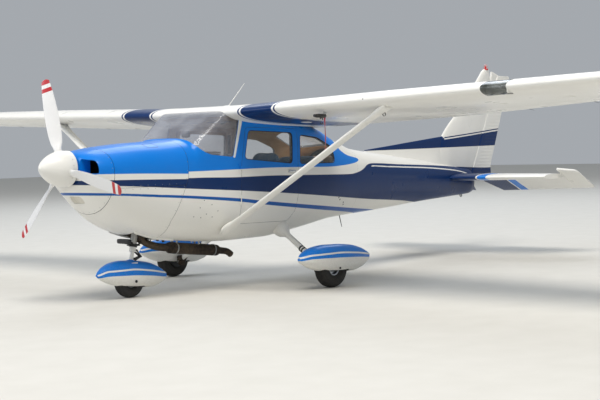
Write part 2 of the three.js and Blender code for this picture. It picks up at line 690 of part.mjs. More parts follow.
// Rings of the tailplane; the hollow inside has its own edge and a share of the height.
function stabRing([y, lead], inset = 0, share = 1) {
  const chord = (elevatorHinge.x - lead) / 0.62;
  return tailOutline(chord, 0, 1).map(([along, up]) => new THREE.Vector3(
    lead + inset + along * (1 - inset / chord), -y, elevatorHinge.z + up * share));
}
const elevatorNose = 26;
const stabRear = elevatorHinge.x - elevatorNose - elevatorGap;
const stabWhole = solidOf(loft(stabRows.map((row) => stabRing(row))))
  .intersect(box(5000, stabRear, -2000, 2000, 0, 2000))
  .subtract(bodyBoth)
  .subtract(box(5850, 6100, -110, 110, 0, 2000));
const stabHollow = solidOf(loft(stabRows.map((row) => stabRing(row, 20, 0.82))))
  .intersect(box(5000, stabRear - 25, 24 - stabHalf, stabHalf - 24, 0, 2000));
const stabPort = stabWhole.subtract(stabHollow).decompose()
  .sort((left, right) => right.volume() - left.volume())
  .find((piece) => piece.boundingBox().max[1] < 0);
const elevatorHinges = [420, 1250].map((y) => plainHinge(
  [elevatorHinge.x, -y, elevatorHinge.z], [0, 1, 0], [-1, 0, 0], 60));
addPair('tailplane', joined(elevatorHinges.map((part) => part.plate),
  stabPort.translate([0, -touchGap, 0])), paint.white);

const elevatorRows = [
  // y, nose, trailing edge, half thickness at the hinge
  [150, elevatorHinge.x, 6490, 24], [stabHalf + 8, elevatorHinge.x, 6415, 19],
];
function elevatorRing([y, lead, trail, half]) {
  const nose = [0, 1, 2, 3, 4, 5, 6].map((k) => {
    const angle = Math.PI / 2 + k / 6 * Math.PI;
    return [lead + half * Math.cos(angle), half * Math.sin(angle)];
  });
  return [...nose, [trail, -3], [trail, 3]].map(([x, z]) => new THREE.Vector3(
    x - elevatorHinge.x, -y, z));
}
const elevator = new THREE.Group();
elevator.position.set(elevatorHinge.x, 0, elevatorHinge.z);
elevator.rotation.y = elevatorDroop;
aircraft.add(elevator);
const hornRows = [
  // y, nose, trailing edge, half thickness
  [stabHalf + 8, 5800, 6414, 17], [1700, 5850, 6396, 15], [tailHalf, 5900, 6360, 8],
];
// The slots stay open over the whole swing, from the drooped rest to the raised limit.
const elevatorSlots = [420, 1250].map((y) => box(-60, 0, -y - 14, -y + 14, -90, 90)
  .add(rod([0, -y - 14, 0], [0, -y + 14, 0], eyeRadius + 0.5, 16)));
const innerCut = planPrism([[-100, -95], [60, -95], [520, -245], [520, 0], [-100, 0]], -100, 100);
const elevatorHalf = without([innerCut, ...elevatorSlots],
  solidOf(loft(elevatorRows.map(elevatorRing))).add(solidOf(loft(hornRows.map(elevatorRing)))));
const torqueTube = rod([0, -160, 0], [0, 160, 0], 16, 12);
addPiece('elevator', elevatorHalf.add(flip(elevatorHalf)).add(torqueTube), paint.white, elevator);

// Fin with its dorsal fillet, and rudder
function finRing(z, lead, trail, half) {
  const span = trail - lead;
  const rows = [[0, 0.16], [0.04, 0.5], [0.14, 0.8], [0.35, 1], [0.7, 0.92], [1, 0.5]];
  const port = rows.map(([f, w]) => new THREE.Vector3(lead + span * f, -half * w, z));
  const starboard = [...rows].reverse()
    .map(([f, w]) => new THREE.Vector3(lead + span * f, half * w, z));
  return [...port, ...starboard];
}
const hingeSlope = (rudderHinge[1][0] - rudderHinge[0][0]) / (rudderHinge[1][1] - rudderHinge[0][1]);
const hingeLineX = (z) => rudderHinge[0][0] + hingeSlope * (z - rudderHinge[0][1]);
const rudderNose = 24;
const finGap = rudderNose + 9;
const finRows = [
  // z, leading edge, half thickness
  [1080, 5000, 44], [1190, 5060, 44], [1592, 5287, 42], [2050, 5826, 36], [2440, 6232, 31],
  [2505, 6300, 27], [2530, 6345, 16],
];
const finBody = solidOf(loft(finRows.map(([z, lead, half]) => finRing(z, lead,
  hingeLineX(z) - finGap, half))));
const finHollow = solidOf(loft(finRows.slice(0, 5).map(([z, lead, half]) => finRing(z, lead + 30,
  hingeLineX(z) - finGap - 25, half - finSkin)))).intersect(box(0, farX, -farY, farY, 0, 2400));
const dorsal = sidePrism([[3647, 1449], [5300, 1600], [5500, 1600], [5500, 1100], [3647, 1100]],
  -9, 9);
const finTrim = sidePrism([[6480, 2345], [6900, 2345], [6900, 2700], [6430, 2700]], -200, 200);
const rudderAxis = [hingeSlope, 0, 1];
const rudderHinges = [1250, 1750, 2230].map((z) => plainHinge([hingeLineX(z), 0, z], rudderAxis,
  [-1, 0, 0], 70));
const finSolid = joined(rudderHinges.map((part) => part.plate), finBody.add(dorsal)
  .subtract(finHollow))
  .subtract(finTrim)
  .subtract(bodyOuter.translate([0, 0, touchGap]));
addPiece('fin', largest(finSolid), paint.white);
const rudderRows = [
  // z, trailing edge, half thickness at the hinge
  [1070, 6468, rudderNose], [1180, 6462, rudderNose], [2330, 6944, 20], [2425, 6985, 16],
  [2445, 6970, 10],
];
function rudderRing([z, trail, half]) {
  const hinge = hingeLineX(z);
  const nose = [0, 1, 2, 3, 4, 5, 6].map((k) => {
    const angle = Math.PI / 2 + k / 6 * Math.PI;
    return [hinge + half * Math.cos(angle), half * Math.sin(angle)];
  });
  return [...nose, [trail, -3], [trail, 3]].map(([x, y]) => new THREE.Vector3(x, y, z));
}
const hornShape = sidePrism([[6492, 2356], [6700, 2356], [6740, 2440], [6560, 2500], [6522, 2500]],
  -15, 15);
addPiece('rudder', without(rudderHinges.map((part) => part.slot),
  solidOf(loft(rudderRows.map(rudderRing))).add(hornShape)), paint.white);
addPiece('beacon', new THREE.CylinderGeometry(26, 34, 70, 16).rotateX(Math.PI / 2)
  .translate(6391, 0, 2530.3 + 35), paint.red);

// Wheel fairings: a drop shape, round in front and pointed behind, with a wheel slot below
const dropRows = [
  // fraction of the length, half width, rise and fall from the tip line as fractions
  [0, 0.06, 0.1, 0.1], [0.03, 0.34, 0.3, 0.27], [0.09, 0.62, 0.57, 0.48],
  [0.2, 0.88, 0.85, 0.76], [0.35, 1, 0.99, 0.96], [0.52, 0.97, 1, 1], [0.7, 0.76, 0.92, 0.99],
  [0.86, 0.42, 0.66, 0.76], [0.96, 0.14, 0.36, 0.42], [1, 0.05, 0.21, 0.24],
];
function fairing({ front, rear, top, bottom, tip, drop, half, y }) {
  return solidOf(loft(dropRows.map(([f, w, rise, fall]) => Array.from({ length: 16 }, (_, i) => {
    const angle = (i + 0.5) / 16 * 2 * Math.PI;
    const [c, n] = [Math.cos(angle), Math.sin(angle)];
    const line = tip - drop * f;
    const middle = tip - drop * 0.5;
    const reach = n > 0 ? (top - middle) * rise : (middle - bottom) * fall;
    const power = 0.84;
    return new THREE.Vector3(front + (rear - front) * f,
      y + Math.sign(c) * Math.abs(c) ** power * half * w,
      line + Math.sign(n) * Math.abs(n) ** power * reach);
  }))));
}
const mainFairing = { front: 985, rear: 2140, top: 458, bottom: 158, tip: 335, drop: 45,
  half: 140, y: -1250 };
const noseFairing = { front: -682, rear: 252, top: 380, bottom: 100, tip: 262, drop: 80,
  half: 116, y: 0 };

// Tyres and rims, turned about y
const wheelSides = 18;
function tyre({ radius, width, rim }) {
  const half = width / 2;
  const profile = [
    [rim + touchGap, -half * 0.62], [(rim + radius) / 2, -half], [radius - 26, -half * 0.92],
    [radius - 5, -half * 0.55], [radius, 0], [radius - 5, half * 0.55],
    [radius - 26, half * 0.92], [(rim + radius) / 2, half], [rim + touchGap, half * 0.62],
    [rim + touchGap, -half * 0.62],
  ];
  return new THREE.LatheGeometry(profile.map(([r, h]) => new THREE.Vector2(r, h)), wheelSides);
}
const axleRadius = 14;
function rim({ width, rim: outer }) {
  const half = width / 2 * 0.6;
  const bore = axleRadius + 1;
  const profile = [
    [bore, -half * 0.7], [outer * 0.45, -half * 0.7], [outer * 0.55, -half * 0.3],
    [outer * 0.86, -half], [outer, -half], [outer, half], [outer * 0.86, half],
    [outer * 0.55, half * 0.3], [outer * 0.45, half * 0.7], [bore, half * 0.7],
    [bore, -half * 0.7],
  ];
  return new THREE.LatheGeometry(profile.map(([r, h]) => new THREE.Vector2(r, h)), wheelSides);
}
function placeWheel(name, wheel, y) {
  for (const [piece, shape, finish] of [['tyre', tyre(wheel), paint.rubber],
    ['rim', rim(wheel), paint.metal]]) {
    addPiece(`${name}_${piece}`, shape.translate(wheel.x, y, wheel.radius), finish);
  }
}
placeWheel('main_wheel_port', mainWheel, -mainWheel.y);
placeWheel('main_wheel_starboard', mainWheel, mainWheel.y);
placeWheel('nose_wheel', noseWheel, 0);
function wheelSlot({ x, radius, width }, y, room) {
  const reach = radius + room;
  const half = width / 2 + room;
  return box(x - reach, x + reach, y - half, y + half, -50, radius)
    .add(rod([x, y - half, radius], [x, y + half, radius], reach, 28));
}

// Main gear legs: sprung tubes from the belly out to the axles
function mainLeg(extra) {
  return solidOf(taperedTube([[1612, -400, 620, 96 + extra], [1606, -465, 581, 84 + extra],
    [1597, -515, 551, 48 + extra], [1588, -565, 522, 27 + extra],
    [1496, -1095, 222, 25 + extra], [1492, -1142, 195, 22 + extra]]))
    .add(rod([1492, -1128 + extra, mainWheel.radius], [1492, -1245, mainWheel.radius],
      axleRadius + extra));
}
const caliper = box(1500, 1600, -1165, -1120, 150, 262);
const legSolid = mainLeg(0).add(caliper).subtract(bodyBoth.translate([0, -touchGap, -touchGap]))
  .subtract(box(1000, 2000, -430, 0, 300, 900));
addPair('main_gear_leg', largest(legSolid), paint.white);
addPair('main_fairing', largest(fairing(mainFairing).subtract(wheelSlot(mainWheel, -mainWheel.y, 12))
  .subtract(mainLeg(touchGap)).subtract(box(1499.4, 1600.6, -1165.6, -1100, 149, 262.6))),
  paint.white);

// Nose gear: fixed upper strut, steered piston, fork and fairing
const strutTop = { x: -90, z: 1000 };
const strutLow = { x: -205, z: 470 };
const steerSlope = (strutTop.x - strutLow.x) / (strutTop.z - strutLow.z);
const steerX = (z) => strutLow.x + steerSlope * (z - strutLow.z);
const oleo = rod([strutTop.x, 0, strutTop.z], [strutLow.x, 0, strutLow.z], 34, 16)
  .add(box(-150, firewallX - touchGap, -40, 40, 700, 760))
  .add(box(-110, firewallX - touchGap, -40, 40, 930, 975));
addPiece('nose_strut', oleo, paint.metal);
const towPin = 124;
const pistonTop = strutLow.z - 0.35;
function noseFork(extra) {
  const arm = noseWheel.width / 2 + 8;
  return rod([steerX(pistonTop), 0, pistonTop], [steerX(358), 0, 358], 21 + extra, 14)
    .add(box(-275 - extra, -190 + extra, -arm - 8 - extra, arm + 8 + extra, 351 - extra,
      363 + extra))
    .add(box(-282 - extra, -242 + extra, -arm - 8 - extra, -arm + extra, 152 - extra, 363))
    .add(box(-282 - extra, -242 + extra, arm - extra, arm + 8 + extra, 152 - extra, 363))
    .add(rod([noseWheel.x, -arm - 10, noseWheel.radius], [noseWheel.x, arm + 10, noseWheel.radius],
      axleRadius))
    .add(rod([noseWheel.x, -towPin, noseWheel.radius], [noseWheel.x, towPin, noseWheel.radius],
      9 + extra));
}
addPiece('nose_fork', noseFork(0), paint.metal);
addPiece('nose_fairing', largest(fairing(noseFairing).subtract(wheelSlot(noseWheel, 0, 7))
  .subtract(noseFork(touchGap))), paint.white);

// Exhaust silencer under the belly
const silencerY = -100;
const silencer = taperedTube([[-190, silencerY, engineBase - touchGap, 30], [-190, silencerY, 700, 30],
  [-150, silencerY, 590, 34], [-60, silencerY, 540, 38], [60, silencerY, 505, 40],
  [200, silencerY, 485, 52], [260, silencerY, 478, 60], [900, silencerY, 405, 60],
  [960, silencerY, 398, 40],
  [1060, silencerY, 384, 36], [1130, silencerY, 340, 36]], 14);
addPiece('silencer', silencer, paint.dark);

// The reference point is under the middle of the whole length, on the ground.
aircraft.updateMatrixWorld(true);
const extent = new THREE.Box3().setFromObject(aircraft, true);
aircraft.position.x = -(extent.min.x + extent.max.x) / 2;
aircraft.position.z = -extent.min.z;

export default aircraft;
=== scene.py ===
import math

import bmesh
import bpy
import numpy as np
from mathutils import Matrix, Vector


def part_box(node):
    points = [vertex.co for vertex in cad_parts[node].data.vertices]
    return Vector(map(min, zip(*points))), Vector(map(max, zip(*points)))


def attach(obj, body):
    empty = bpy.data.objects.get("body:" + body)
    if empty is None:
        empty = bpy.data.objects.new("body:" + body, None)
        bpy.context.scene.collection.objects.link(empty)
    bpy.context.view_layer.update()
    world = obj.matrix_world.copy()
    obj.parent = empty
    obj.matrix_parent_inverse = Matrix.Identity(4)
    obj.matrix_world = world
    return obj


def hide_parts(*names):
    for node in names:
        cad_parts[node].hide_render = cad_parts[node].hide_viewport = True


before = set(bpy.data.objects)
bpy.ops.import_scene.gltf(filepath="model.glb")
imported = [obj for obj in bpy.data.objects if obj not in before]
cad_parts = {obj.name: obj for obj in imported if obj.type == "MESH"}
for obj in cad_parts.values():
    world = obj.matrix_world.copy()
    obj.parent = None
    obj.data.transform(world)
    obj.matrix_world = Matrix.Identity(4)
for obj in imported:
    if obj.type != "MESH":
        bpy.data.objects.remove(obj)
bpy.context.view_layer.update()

# Four-seat high-wing light aircraft, parked. Shapes are in station millimetres:
# x aft of the firewall datum, y to starboard, z up from the ground.
mm = 0.001
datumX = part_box("firewall")[0][0] - 0.155  # station zero in the shared frame
turn = 2 * math.pi
sides = (("port", -1), ("starboard", 1))

# camera, at the height of a standing person's chest
look = dict(place=(-11.820, -10.283, 1.506), heading=42.007, pitch=-2.330, roll=-1.543, lens=77.83)
heading, pitch, roll = (math.radians(look[key]) for key in ("heading", "pitch", "roll"))
ahead = np.array([math.cos(heading) * math.cos(pitch), math.sin(heading) * math.cos(pitch), math.sin(pitch)])
right = np.cross(ahead, [0, 0, 1])
right /= np.linalg.norm(right)
over = np.cross(right, ahead)
right, over = (math.cos(roll) * right + math.sin(roll) * over, math.cos(roll) * over - math.sin(roll) * right)
cameraData = bpy.data.cameras.new("camera")
cameraData.lens, cameraData.sensor_width = look["lens"], 36
cameraData.clip_start, cameraData.clip_end = 0.1, 200
camera = bpy.data.objects.new("camera", cameraData)
camera.matrix_world = Matrix(np.vstack([np.column_stack([right, over, -ahead, look["place"]]), [0, 0, 0, 1]]).tolist())
bpy.context.collection.objects.link(camera)
bpy.context.scene.camera = camera
print("camera placed")


# mesh helpers

# Quads between the rows and columns of a grid; a closed direction joins its last line to its first.
def gridFaces(rows, cols, closedRows=False, closedCols=False):
    index = np.arange(rows * cols).reshape(rows, cols)
    if closedRows:
        index = np.vstack([index, index[:1]])
    if closedCols:
        index = np.hstack([index, index[:, :1]])
    return np.stack([index[:-1, :-1], index[:-1, 1:], index[1:, 1:], index[1:, :-1]], -1).reshape(-1, 4)


# Sum of the face normals round each point, made unit length.
def pointNormals(points, faces):
    normal = np.cross(points[faces[:, 2]] - points[faces[:, 0]], points[faces[:, 3]] - points[faces[:, 1]])
    total = np.zeros_like(points)
    for corner in range(4):
        np.add.at(total, faces[:, corner], normal)
    return total / np.maximum(np.linalg.norm(total, axis=1, keepdims=True), 1e-9)


# Turns the faces round if most of them look toward the centre; share weighs x, y and z.
def facingOut(points, faces, centre, share=1):
    looking = np.sum(pointNormals(points, faces) * (points - centre) * share)
    return faces[:, ::-1] if looking < 0 else faces


# A second wall at point - normal * depth, and a rim over every open edge; kinds are 0 for the outer
# wall, 1 for the inner one and 2 for the rim.
def thicken(points, faces, depth):
    count = len(points)
    inner = points - pointNormals(points, faces) * np.reshape(depth, (-1, 1))
    edges = np.stack([faces, np.roll(faces, -1, 1)], -1).reshape(-1, 2)
    edges = edges[edges[:, 0] != edges[:, 1]]
    key = edges[:, 0] * count + edges[:, 1]
    rim = edges[~np.isin(key, edges[:, 1] * count + edges[:, 0])]
    rimFaces = np.column_stack([rim[:, 1], rim[:, 0], rim[:, 0] + count, rim[:, 1] + count])
    kinds = np.repeat([0, 1, 2], [len(faces), len(faces), len(rimFaces)])
    return np.vstack([points, inner]), np.vstack([faces, faces[:, ::-1] + count, rimFaces]), kinds


# A sheet on a grid of points, with its thickness.
def sheetOf(grid, depth, closed=False):
    return thicken(grid.reshape(-1, 3), gridFaces(*grid.shape[:2], closedCols=closed), depth)


# One object at the origin from station millimetres; doubles are merged and faces turned outwards.
# The shape is (points, faces), with the kind of each face where there are several finishes, or a
# list of shapes. The fields are values on the points, or a function that gives them.
def makePiece(name, shape, finish, body="fuselage", hides=(), fields=None, sharp=38):
    points, faces, *kinds = joined(shape) if isinstance(shape, list) else shape
    mesh = bpy.data.meshes.new(name)
    placed = np.asarray(points, float).reshape(-1, 3) * mm + (datumX, 0, 0)
    used, order = np.unique(faces, return_inverse=True)
    mesh.from_pydata(placed[used].tolist(), [], order.reshape(np.shape(faces)).tolist())
    finishes = finish if isinstance(finish, (list, tuple)) else [finish]
    for material in finishes:
        mesh.materials.append(material)
    if kinds:
        mesh.polygons.foreach_set("material_index", np.minimum(kinds[0], len(finishes) - 1).astype(np.int32))
    for field, values in (fields(points) if callable(fields) else fields or {}).items():
        layer = mesh.attributes.new(field, "FLOAT", "POINT")
        layer.data.foreach_set("value", np.asarray(values, np.float32)[used])
    work = bmesh.new()
    work.from_mesh(mesh)
    bmesh.ops.remove_doubles(work, verts=work.verts, dist=2e-5)
    bmesh.ops.dissolve_degenerate(work, edges=work.edges, dist=1e-6)
    bmesh.ops.recalc_face_normals(work, faces=work.faces)
    work.to_mesh(mesh)
    work.free()
    mesh.shade_smooth()
    mesh.set_sharp_from_angle(angle=math.radians(sharp))
    piece = bpy.data.objects.new(name, mesh)
    bpy.context.collection.objects.link(piece)
    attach(piece, body)
    if hides:
        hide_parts(*hides)
    return piece


# Several shapes as one.
def joined(shapes):
    starts = np.cumsum([0] + [len(shape[0]) for shape in shapes])
    return (np.vstack([shape[0] for shape in shapes]),
            np.vstack([np.asarray(shape[1]) + start for shape, start in zip(shapes, starts)]))


def mirrored(shape):
    return shape[0] * (1, -1, 1), shape[1][:, ::-1]


# Cubic through the knots; a knot's slope is the harmonic mean of its two chords, or 0 at a turn.
def smoothCurve(at, knots, values):
    knots, values = np.asarray(knots, float), np.asarray(values, float)
    chord = np.diff(values) / np.diff(knots)
    slope = np.concatenate([chord[:1], np.zeros(len(chord) - 1), chord[-1:]])
    same = chord[:-1] * chord[1:] > 0
    slope[1:-1][same] = 2 * chord[:-1][same] * chord[1:][same] / (chord[:-1] + chord[1:])[same]
    at = np.clip(at, knots[0], knots[-1])
    k = np.clip(np.searchsorted(knots, at, side="right") - 1, 0, len(chord) - 1)
    width = np.diff(knots)[k]
    t = (at - knots[k]) / width
    return ((1 + 2 * t) * (1 - t) ** 2 * values[k] + t * (1 - t) ** 2 * width * slope[k]
            + t * t * (3 - 2 * t) * values[k + 1] + t * t * (t - 1) * width * slope[k + 1])


# Length along a line at each of its points, measured in the first few columns.
def lengthAlong(corners, columns=None):
    return np.concatenate([[0], np.cumsum(np.linalg.norm(np.diff(corners[:, :columns], axis=0), axis=1))])


# A smooth line through a few points, as many points, evenly by length or by the corners' count.
def smoothLine(corners, count=60, columns=None, even=True):
    corners = np.array(corners, float)
    along = lengthAlong(corners, columns) if even else np.arange(len(corners))
    at = np.linspace(0, along[-1], count)
    return np.column_stack([smoothCurve(at, along, column) for column in corners.T])


# Least distance to the sides of a polygon, positive inside.
def polygonDistance(x, z, corners):
    corners = np.array(corners, float)
    least = np.full(np.shape(x), 1e9)
    inside = np.zeros(np.shape(x), bool)
    for (ax, az), (bx, bz) in zip(corners, np.roll(corners, -1, 0)):
        dx, dz = bx - ax, bz - az
        t = np.clip(((x - ax) * dx + (z - az) * dz) / max(dx * dx + dz * dz, 1e-9), 0, 1)
        least = np.minimum(least, np.hypot(x - ax - t * dx, z - az - t * dz))
        if dz != 0:
            inside ^= ((az > z) != (bz > z)) & (x < ax + dx * (z - az) / dz)
    return np.where(inside, least, -least)


# The polygon with each side moved out by a margin.
def offsetPolygon(corners, margin):
    corners = np.array(corners, float)
    before, after = corners - np.roll(corners, 1, 0), np.roll(corners, -1, 0) - corners
    side = np.sign(np.sum(corners[:, 0] * np.roll(corners[:, 1], -1) - np.roll(corners[:, 0], -1) * corners[:, 1]))
    first, second = (np.column_stack([d[:, 1], -d[:, 0]]) / np.linalg.norm(d, axis=1)[:, None]
                     for d in (before, after))
    out = first + second
    out /= np.linalg.norm(out, axis=1)[:, None]
    return corners + out * (side * margin / np.maximum(0.4, np.sum(out * first, 1)))[:, None]


# Distance into a polygon whose corners are rounded by a radius.
def roundedDistance(x, z, corners, radius):
    return polygonDistance(x, z, offsetPolygon(corners, -radius)) + radius


# Keeps the faces where the distance is positive and slides the border points over the surface
# until distance(surface(u, v)) = 0. Span is how many mm one unit of v is.
def cutSurface(surface, u, v, faces, distance, cell, span):
    u, v = u.astype(float).copy(), v.astype(float).copy()
    d = distance(surface(u, v))
    faces = faces[(d[faces] > 0.35 * cell).any(1)]
    moving = np.unique(faces[d[faces] < 0.35 * cell])
    for _ in range(5):
        here = distance(surface(u[moving], v[moving]))
        du = distance(surface(u[moving] + 1, v[moving])) - here
        dv = distance(surface(u[moving], v[moving] + 1 / span)) - here
        step = np.clip(here / np.maximum(du * du + dv * dv, 0.2), -1.6 * cell, 1.6 * cell)
        u[moving] -= step * du
        v[moving] -= step * dv / span
    return surface(u, v), faces


# Circles round centres, in the plane of two unit directions each.
def ringOf(centre, first, second, radius, count):
    angle = np.arange(count) / count * turn
    centre, first, second = (np.asarray(a, float)[..., None, :] for a in (centre, first, second))
    radius = np.reshape(radius, (-1, 1, 1))
    return centre + np.cos(angle)[:, None] * first * radius + np.sin(angle)[:, None] * second * radius


# A tube: a circle of radius r(i) carried along points p(i), square to the path, closed at both ends.
def tube(path, radius, count=12, flat=1.0):
    path = np.array(path, float)
    radius = np.broadcast_to(radius, len(path)).astype(float)
    along = np.gradient(path, axis=0)
    along /= np.linalg.norm(along, axis=1)[:, None]
    guide = np.array([0, 0, 1.0]) if abs(along[:, 2]).mean() < 0.8 else np.array([1.0, 0, 0])
    first = np.cross(along, guide)
    first /= np.linalg.norm(first, axis=1)[:, None]
    second = np.cross(along, first) * flat
    path, first, second, radius = (np.concatenate([a[:1], a, a[-1:]]) for a in (path, first, second, radius))
    radius[0] = radius[-1] = 1e-3
    rings = ringOf(path, first, second, radius, count)
    return rings.reshape(-1, 3), gridFaces(len(path), count, closedCols=True)


# A profile of (along, radius) rows turned about the line from a centre in a direction.
def lathe(rows, centre, axis, count=32):
    rows = np.array(rows, float)
    axis = np.array(axis, float) / np.linalg.norm(axis)
    guide = np.array([0, 0, 1.0]) if abs(axis[2]) < 0.9 else np.array([1.0, 0, 0])
    first = np.cross(axis, guide)
    first /= np.linalg.norm(first)
    rings = ringOf(np.array(centre, float) + rows[:, :1] * axis, np.tile(first, (len(rows), 1)),
                   np.tile(np.cross(axis, first), (len(rows), 1)), np.maximum(rows[:, 1], 1e-3), count)
    return rings.reshape(-1, 3), gridFaces(len(rows), count, closedCols=True)


# A box with its edges rounded: each point of a sphere grid pushed out to |x|^p + |y|^p + |z|^p = 1.
def softBox(low, high, power=8, rows=20, cols=32):
    a = np.linspace(-math.pi / 2, math.pi / 2, rows)[:, None]
    b = np.arange(cols)[None, :] / cols * turn
    ball = np.stack(np.broadcast_arrays(np.cos(a) * np.cos(b), np.cos(a) * np.sin(b), np.sin(a) + 0 * b), -1)
    ball = ball / (np.abs(ball) ** power).sum(-1, keepdims=True) ** (1 / power)
    low, high = np.array(low, float), np.array(high, float)
    return ((low + high) / 2 + ball * (high - low) / 2).reshape(-1, 3), gridFaces(rows, cols, closedCols=True)


# Small domes standing at the given points: a ring of radius r, one of 0.9 r at half height, and the top.
def studs(points, normals, radius, height, sides=6):
    points, normals = np.asarray(points, float), np.asarray(normals, float)
    guide = np.where(np.abs(normals[:, :1]) < 0.8, [[1.0, 0, 0]], [[0, 1.0, 0]])
    first = np.cross(normals, guide)
    first /= np.linalg.norm(first, axis=1)[:, None]
    second = np.cross(normals, first)
    levels = [(1.0, -0.5), (0.9, 0.5), (1e-3, 1.0)]
    rings = [ringOf(points + normals * height * up, first, second, radius * wide, sides) for wide, up in levels]
    stack = np.stack(rings, 1)
    one = gridFaces(len(levels), sides, closedCols=True)
    faces = (one[None] + (np.arange(len(points)) * len(levels) * sides)[:, None, None]).reshape(-1, 4)
    return stack.reshape(-1, 3), faces


# materials

def colour(code):
    parts = np.array([int(code[i:i + 2], 16) for i in (1, 3, 5)]) / 255
    return (*np.where(parts <= 0.04045, parts / 12.92, ((parts + 0.055) / 1.055) ** 2.4), 1.0)


# Values or sockets for a node's inputs: a row of them in order, or a dictionary of some.
def wire(tree, node, inputs):
    for socket, value in inputs.items() if isinstance(inputs, dict) else enumerate(inputs):
        if isinstance(value, bpy.types.NodeSocket):
            tree.links.new(value, node.inputs[socket])
        else:
            node.inputs[socket].default_value = value


# Adds a node, with its inputs and its own settings, and gives one of its outputs.
def addNode(tree, kind, inputs=(), out=0, **settings):
    made = tree.nodes.new("ShaderNode" + kind)
    for key, value in settings.items():
        setattr(made, key, value)
    wire(tree, made, inputs)
    return made.outputs[out]


def newMaterial(name, slot, **values):
    material = bpy.data.materials.new(name)
    material.use_nodes = True
    shader = material.node_tree.nodes["Principled BSDF"]
    wire(material.node_tree, shader, {socket.replace("_", " "): value for socket, value in values.items()})
    return material, material.node_tree, shader


paints = dict(white="#e9e8e3", blue="#0078d8", navy="#002a5e", pin="#0056a8", dirt="#9c9274")


# Two-pack polyurethane enamel sprayed on aluminium: a smooth coloured film under a clear gloss,
# with a faint ripple from the spray gun and thin dust low down. Painted areas come from the
# distances stored on the points: inside where the value is above zero.
def enamel(name, slot, base, patterned=False, dustTop=0.9, ripple=0.05):
    material, tree, shader = newMaterial(name, slot, Roughness=0.34, Coat_Weight=0.2, Coat_Roughness=0.06, IOR=1.5,
                                         Specular_IOR_Level=0.16)
    place = addNode(tree, "TexCoord", out="Object")
    paint = addNode(tree, "RGB")
    paint.default_value = colour(base)
    if patterned:
        for field, code in (("pinField", "pin"), ("navyField", "navy"), ("blueField", "blue")):
            stored = addNode(tree, "Attribute", attribute_name=field, out="Fac")
            mask = addNode(tree, "MapRange", (stored, -0.5, 0.5), interpolation_type="SMOOTHSTEP")
            paint = addNode(tree, "Mix", {0: mask, 6: paint, 7: colour(paints[code])}, data_type="RGBA", out=2)
    # slow fading over about 0.4 m, and dust in spots of about 15 mm, thicker near the ground
    fade = addNode(tree, "TexNoise", {"Vector": place, "Scale": 2.5, "Detail": 3})
    grit = addNode(tree, "TexNoise", {"Vector": place, "Scale": 65, "Detail": 4})
    height = addNode(tree, "SeparateXYZ", (place,), out=2)
    low = addNode(tree, "MapRange", (height, dustTop, 0.1, 0.0, 0.15))
    spots = addNode(tree, "MapRange", (grit, 0.38, 0.72))
    dust = addNode(tree, "Math", (low, spots), operation="MULTIPLY")
    film = addNode(tree, "MapRange", (fade, 0.3, 0.7, 0.0, 0.012))
    dust = addNode(tree, "Math", (dust, film), operation="ADD")
    worn = addNode(tree, "Mix", {0: dust, 6: paint, 7: colour(paints["dirt"])}, data_type="RGBA", out=2)
    gloss = addNode(tree, "MapRange", (fade, 0.3, 0.7, 0.26, 0.42))
    rough = addNode(tree, "Math", (gloss, dust), operation="ADD")
    peel = addNode(tree, "TexNoise", {"Vector": place, "Scale": 9, "Detail": 2})
    bump = addNode(tree, "Bump", {"Strength": ripple, "Distance": 0.02, "Height": peel})
    wire(tree, shader, {"Base Color": worn, "Roughness": rough, "Normal": bump})
    return material


# A plain finish with grain of one size in mm: colour wanders a little and the surface is bumped.
def grained(name, slot, code, second, grain, depth, rough, metal=0.0, coat=0.0, stretch=(1, 1, 1), sheen=0.0):
    material, tree, shader = newMaterial(name, slot, Metallic=metal, Coat_Weight=coat, Sheen_Weight=sheen)
    place = addNode(tree, "TexCoord", out="Object")
    place = addNode(tree, "Mapping", {"Vector": place, "Scale": stretch})
    noise = addNode(tree, "TexNoise", {"Vector": place, "Scale": 1000 / grain / 4, "Detail": 5})
    patch = addNode(tree, "TexNoise", {"Vector": place, "Scale": 1000 / grain / 60, "Detail": 3})
    wander = addNode(tree, "Math", (noise, patch), operation="MULTIPLY")
    share = addNode(tree, "MapRange", (wander, 0.12, 0.4))
    mixed = addNode(tree, "Mix", {0: share, 6: colour(code), 7: colour(second)}, data_type="RGBA", out=2)
    gloss = addNode(tree, "MapRange", (patch, 0.3, 0.7, rough * 0.8, min(1, rough * 1.2)))
    bump = addNode(tree, "Bump", {"Strength": 0.6, "Distance": depth * mm, "Height": noise})
    wire(tree, shader, {"Base Color": mixed, "Roughness": gloss, "Normal": bump})
    return material


skin = enamel("gloss_enamel_on_aluminium", "white_paint", paints["white"], patterned=True)
whiteEnamel = enamel("white_gloss_enamel", "white_paint", paints["white"])
blueEnamel = enamel("blue_gloss_enamel", "blue_paint", paints["blue"])
# inside of the panels: zinc-chromate primer and dull paint, its dark grey-green partly the primer's colour and partly
# painted shade, as the eye sees it only in shade
innerSkin = grained("primer_darkened_as_painted_shade", "bare_aluminium", "#4b5049", "#5b6156", 2, 0.2, 0.7)
# rims of the cut panels, dark grey as painted shade in the gaps between panels; the same finish is the bare metal of
# screws that have lost their paint
gapShadeAndBareMetal = grained("painted_gap_shade_and_bare_screw_metal", "bare_aluminium", "#3b3d40", "#55575a", 1, 0.1, 0.6)
bareAlloy = grained("mill_finish_aluminium", "bare_aluminium", "#c3c6c9", "#a9adb1", 0.8, 0.05, 0.34, metal=1.0,
                    stretch=(1, 1, 6))
steel = grained("zinc_plated_steel", "bare_aluminium", "#a9aba8", "#85878a", 0.6, 0.05, 0.38, metal=1.0)
chrome = grained("hard_chromed_steel_piston", "bare_aluminium", "#d7dadc", "#c6cacd", 0.5, 0.01, 0.12, metal=1.0)
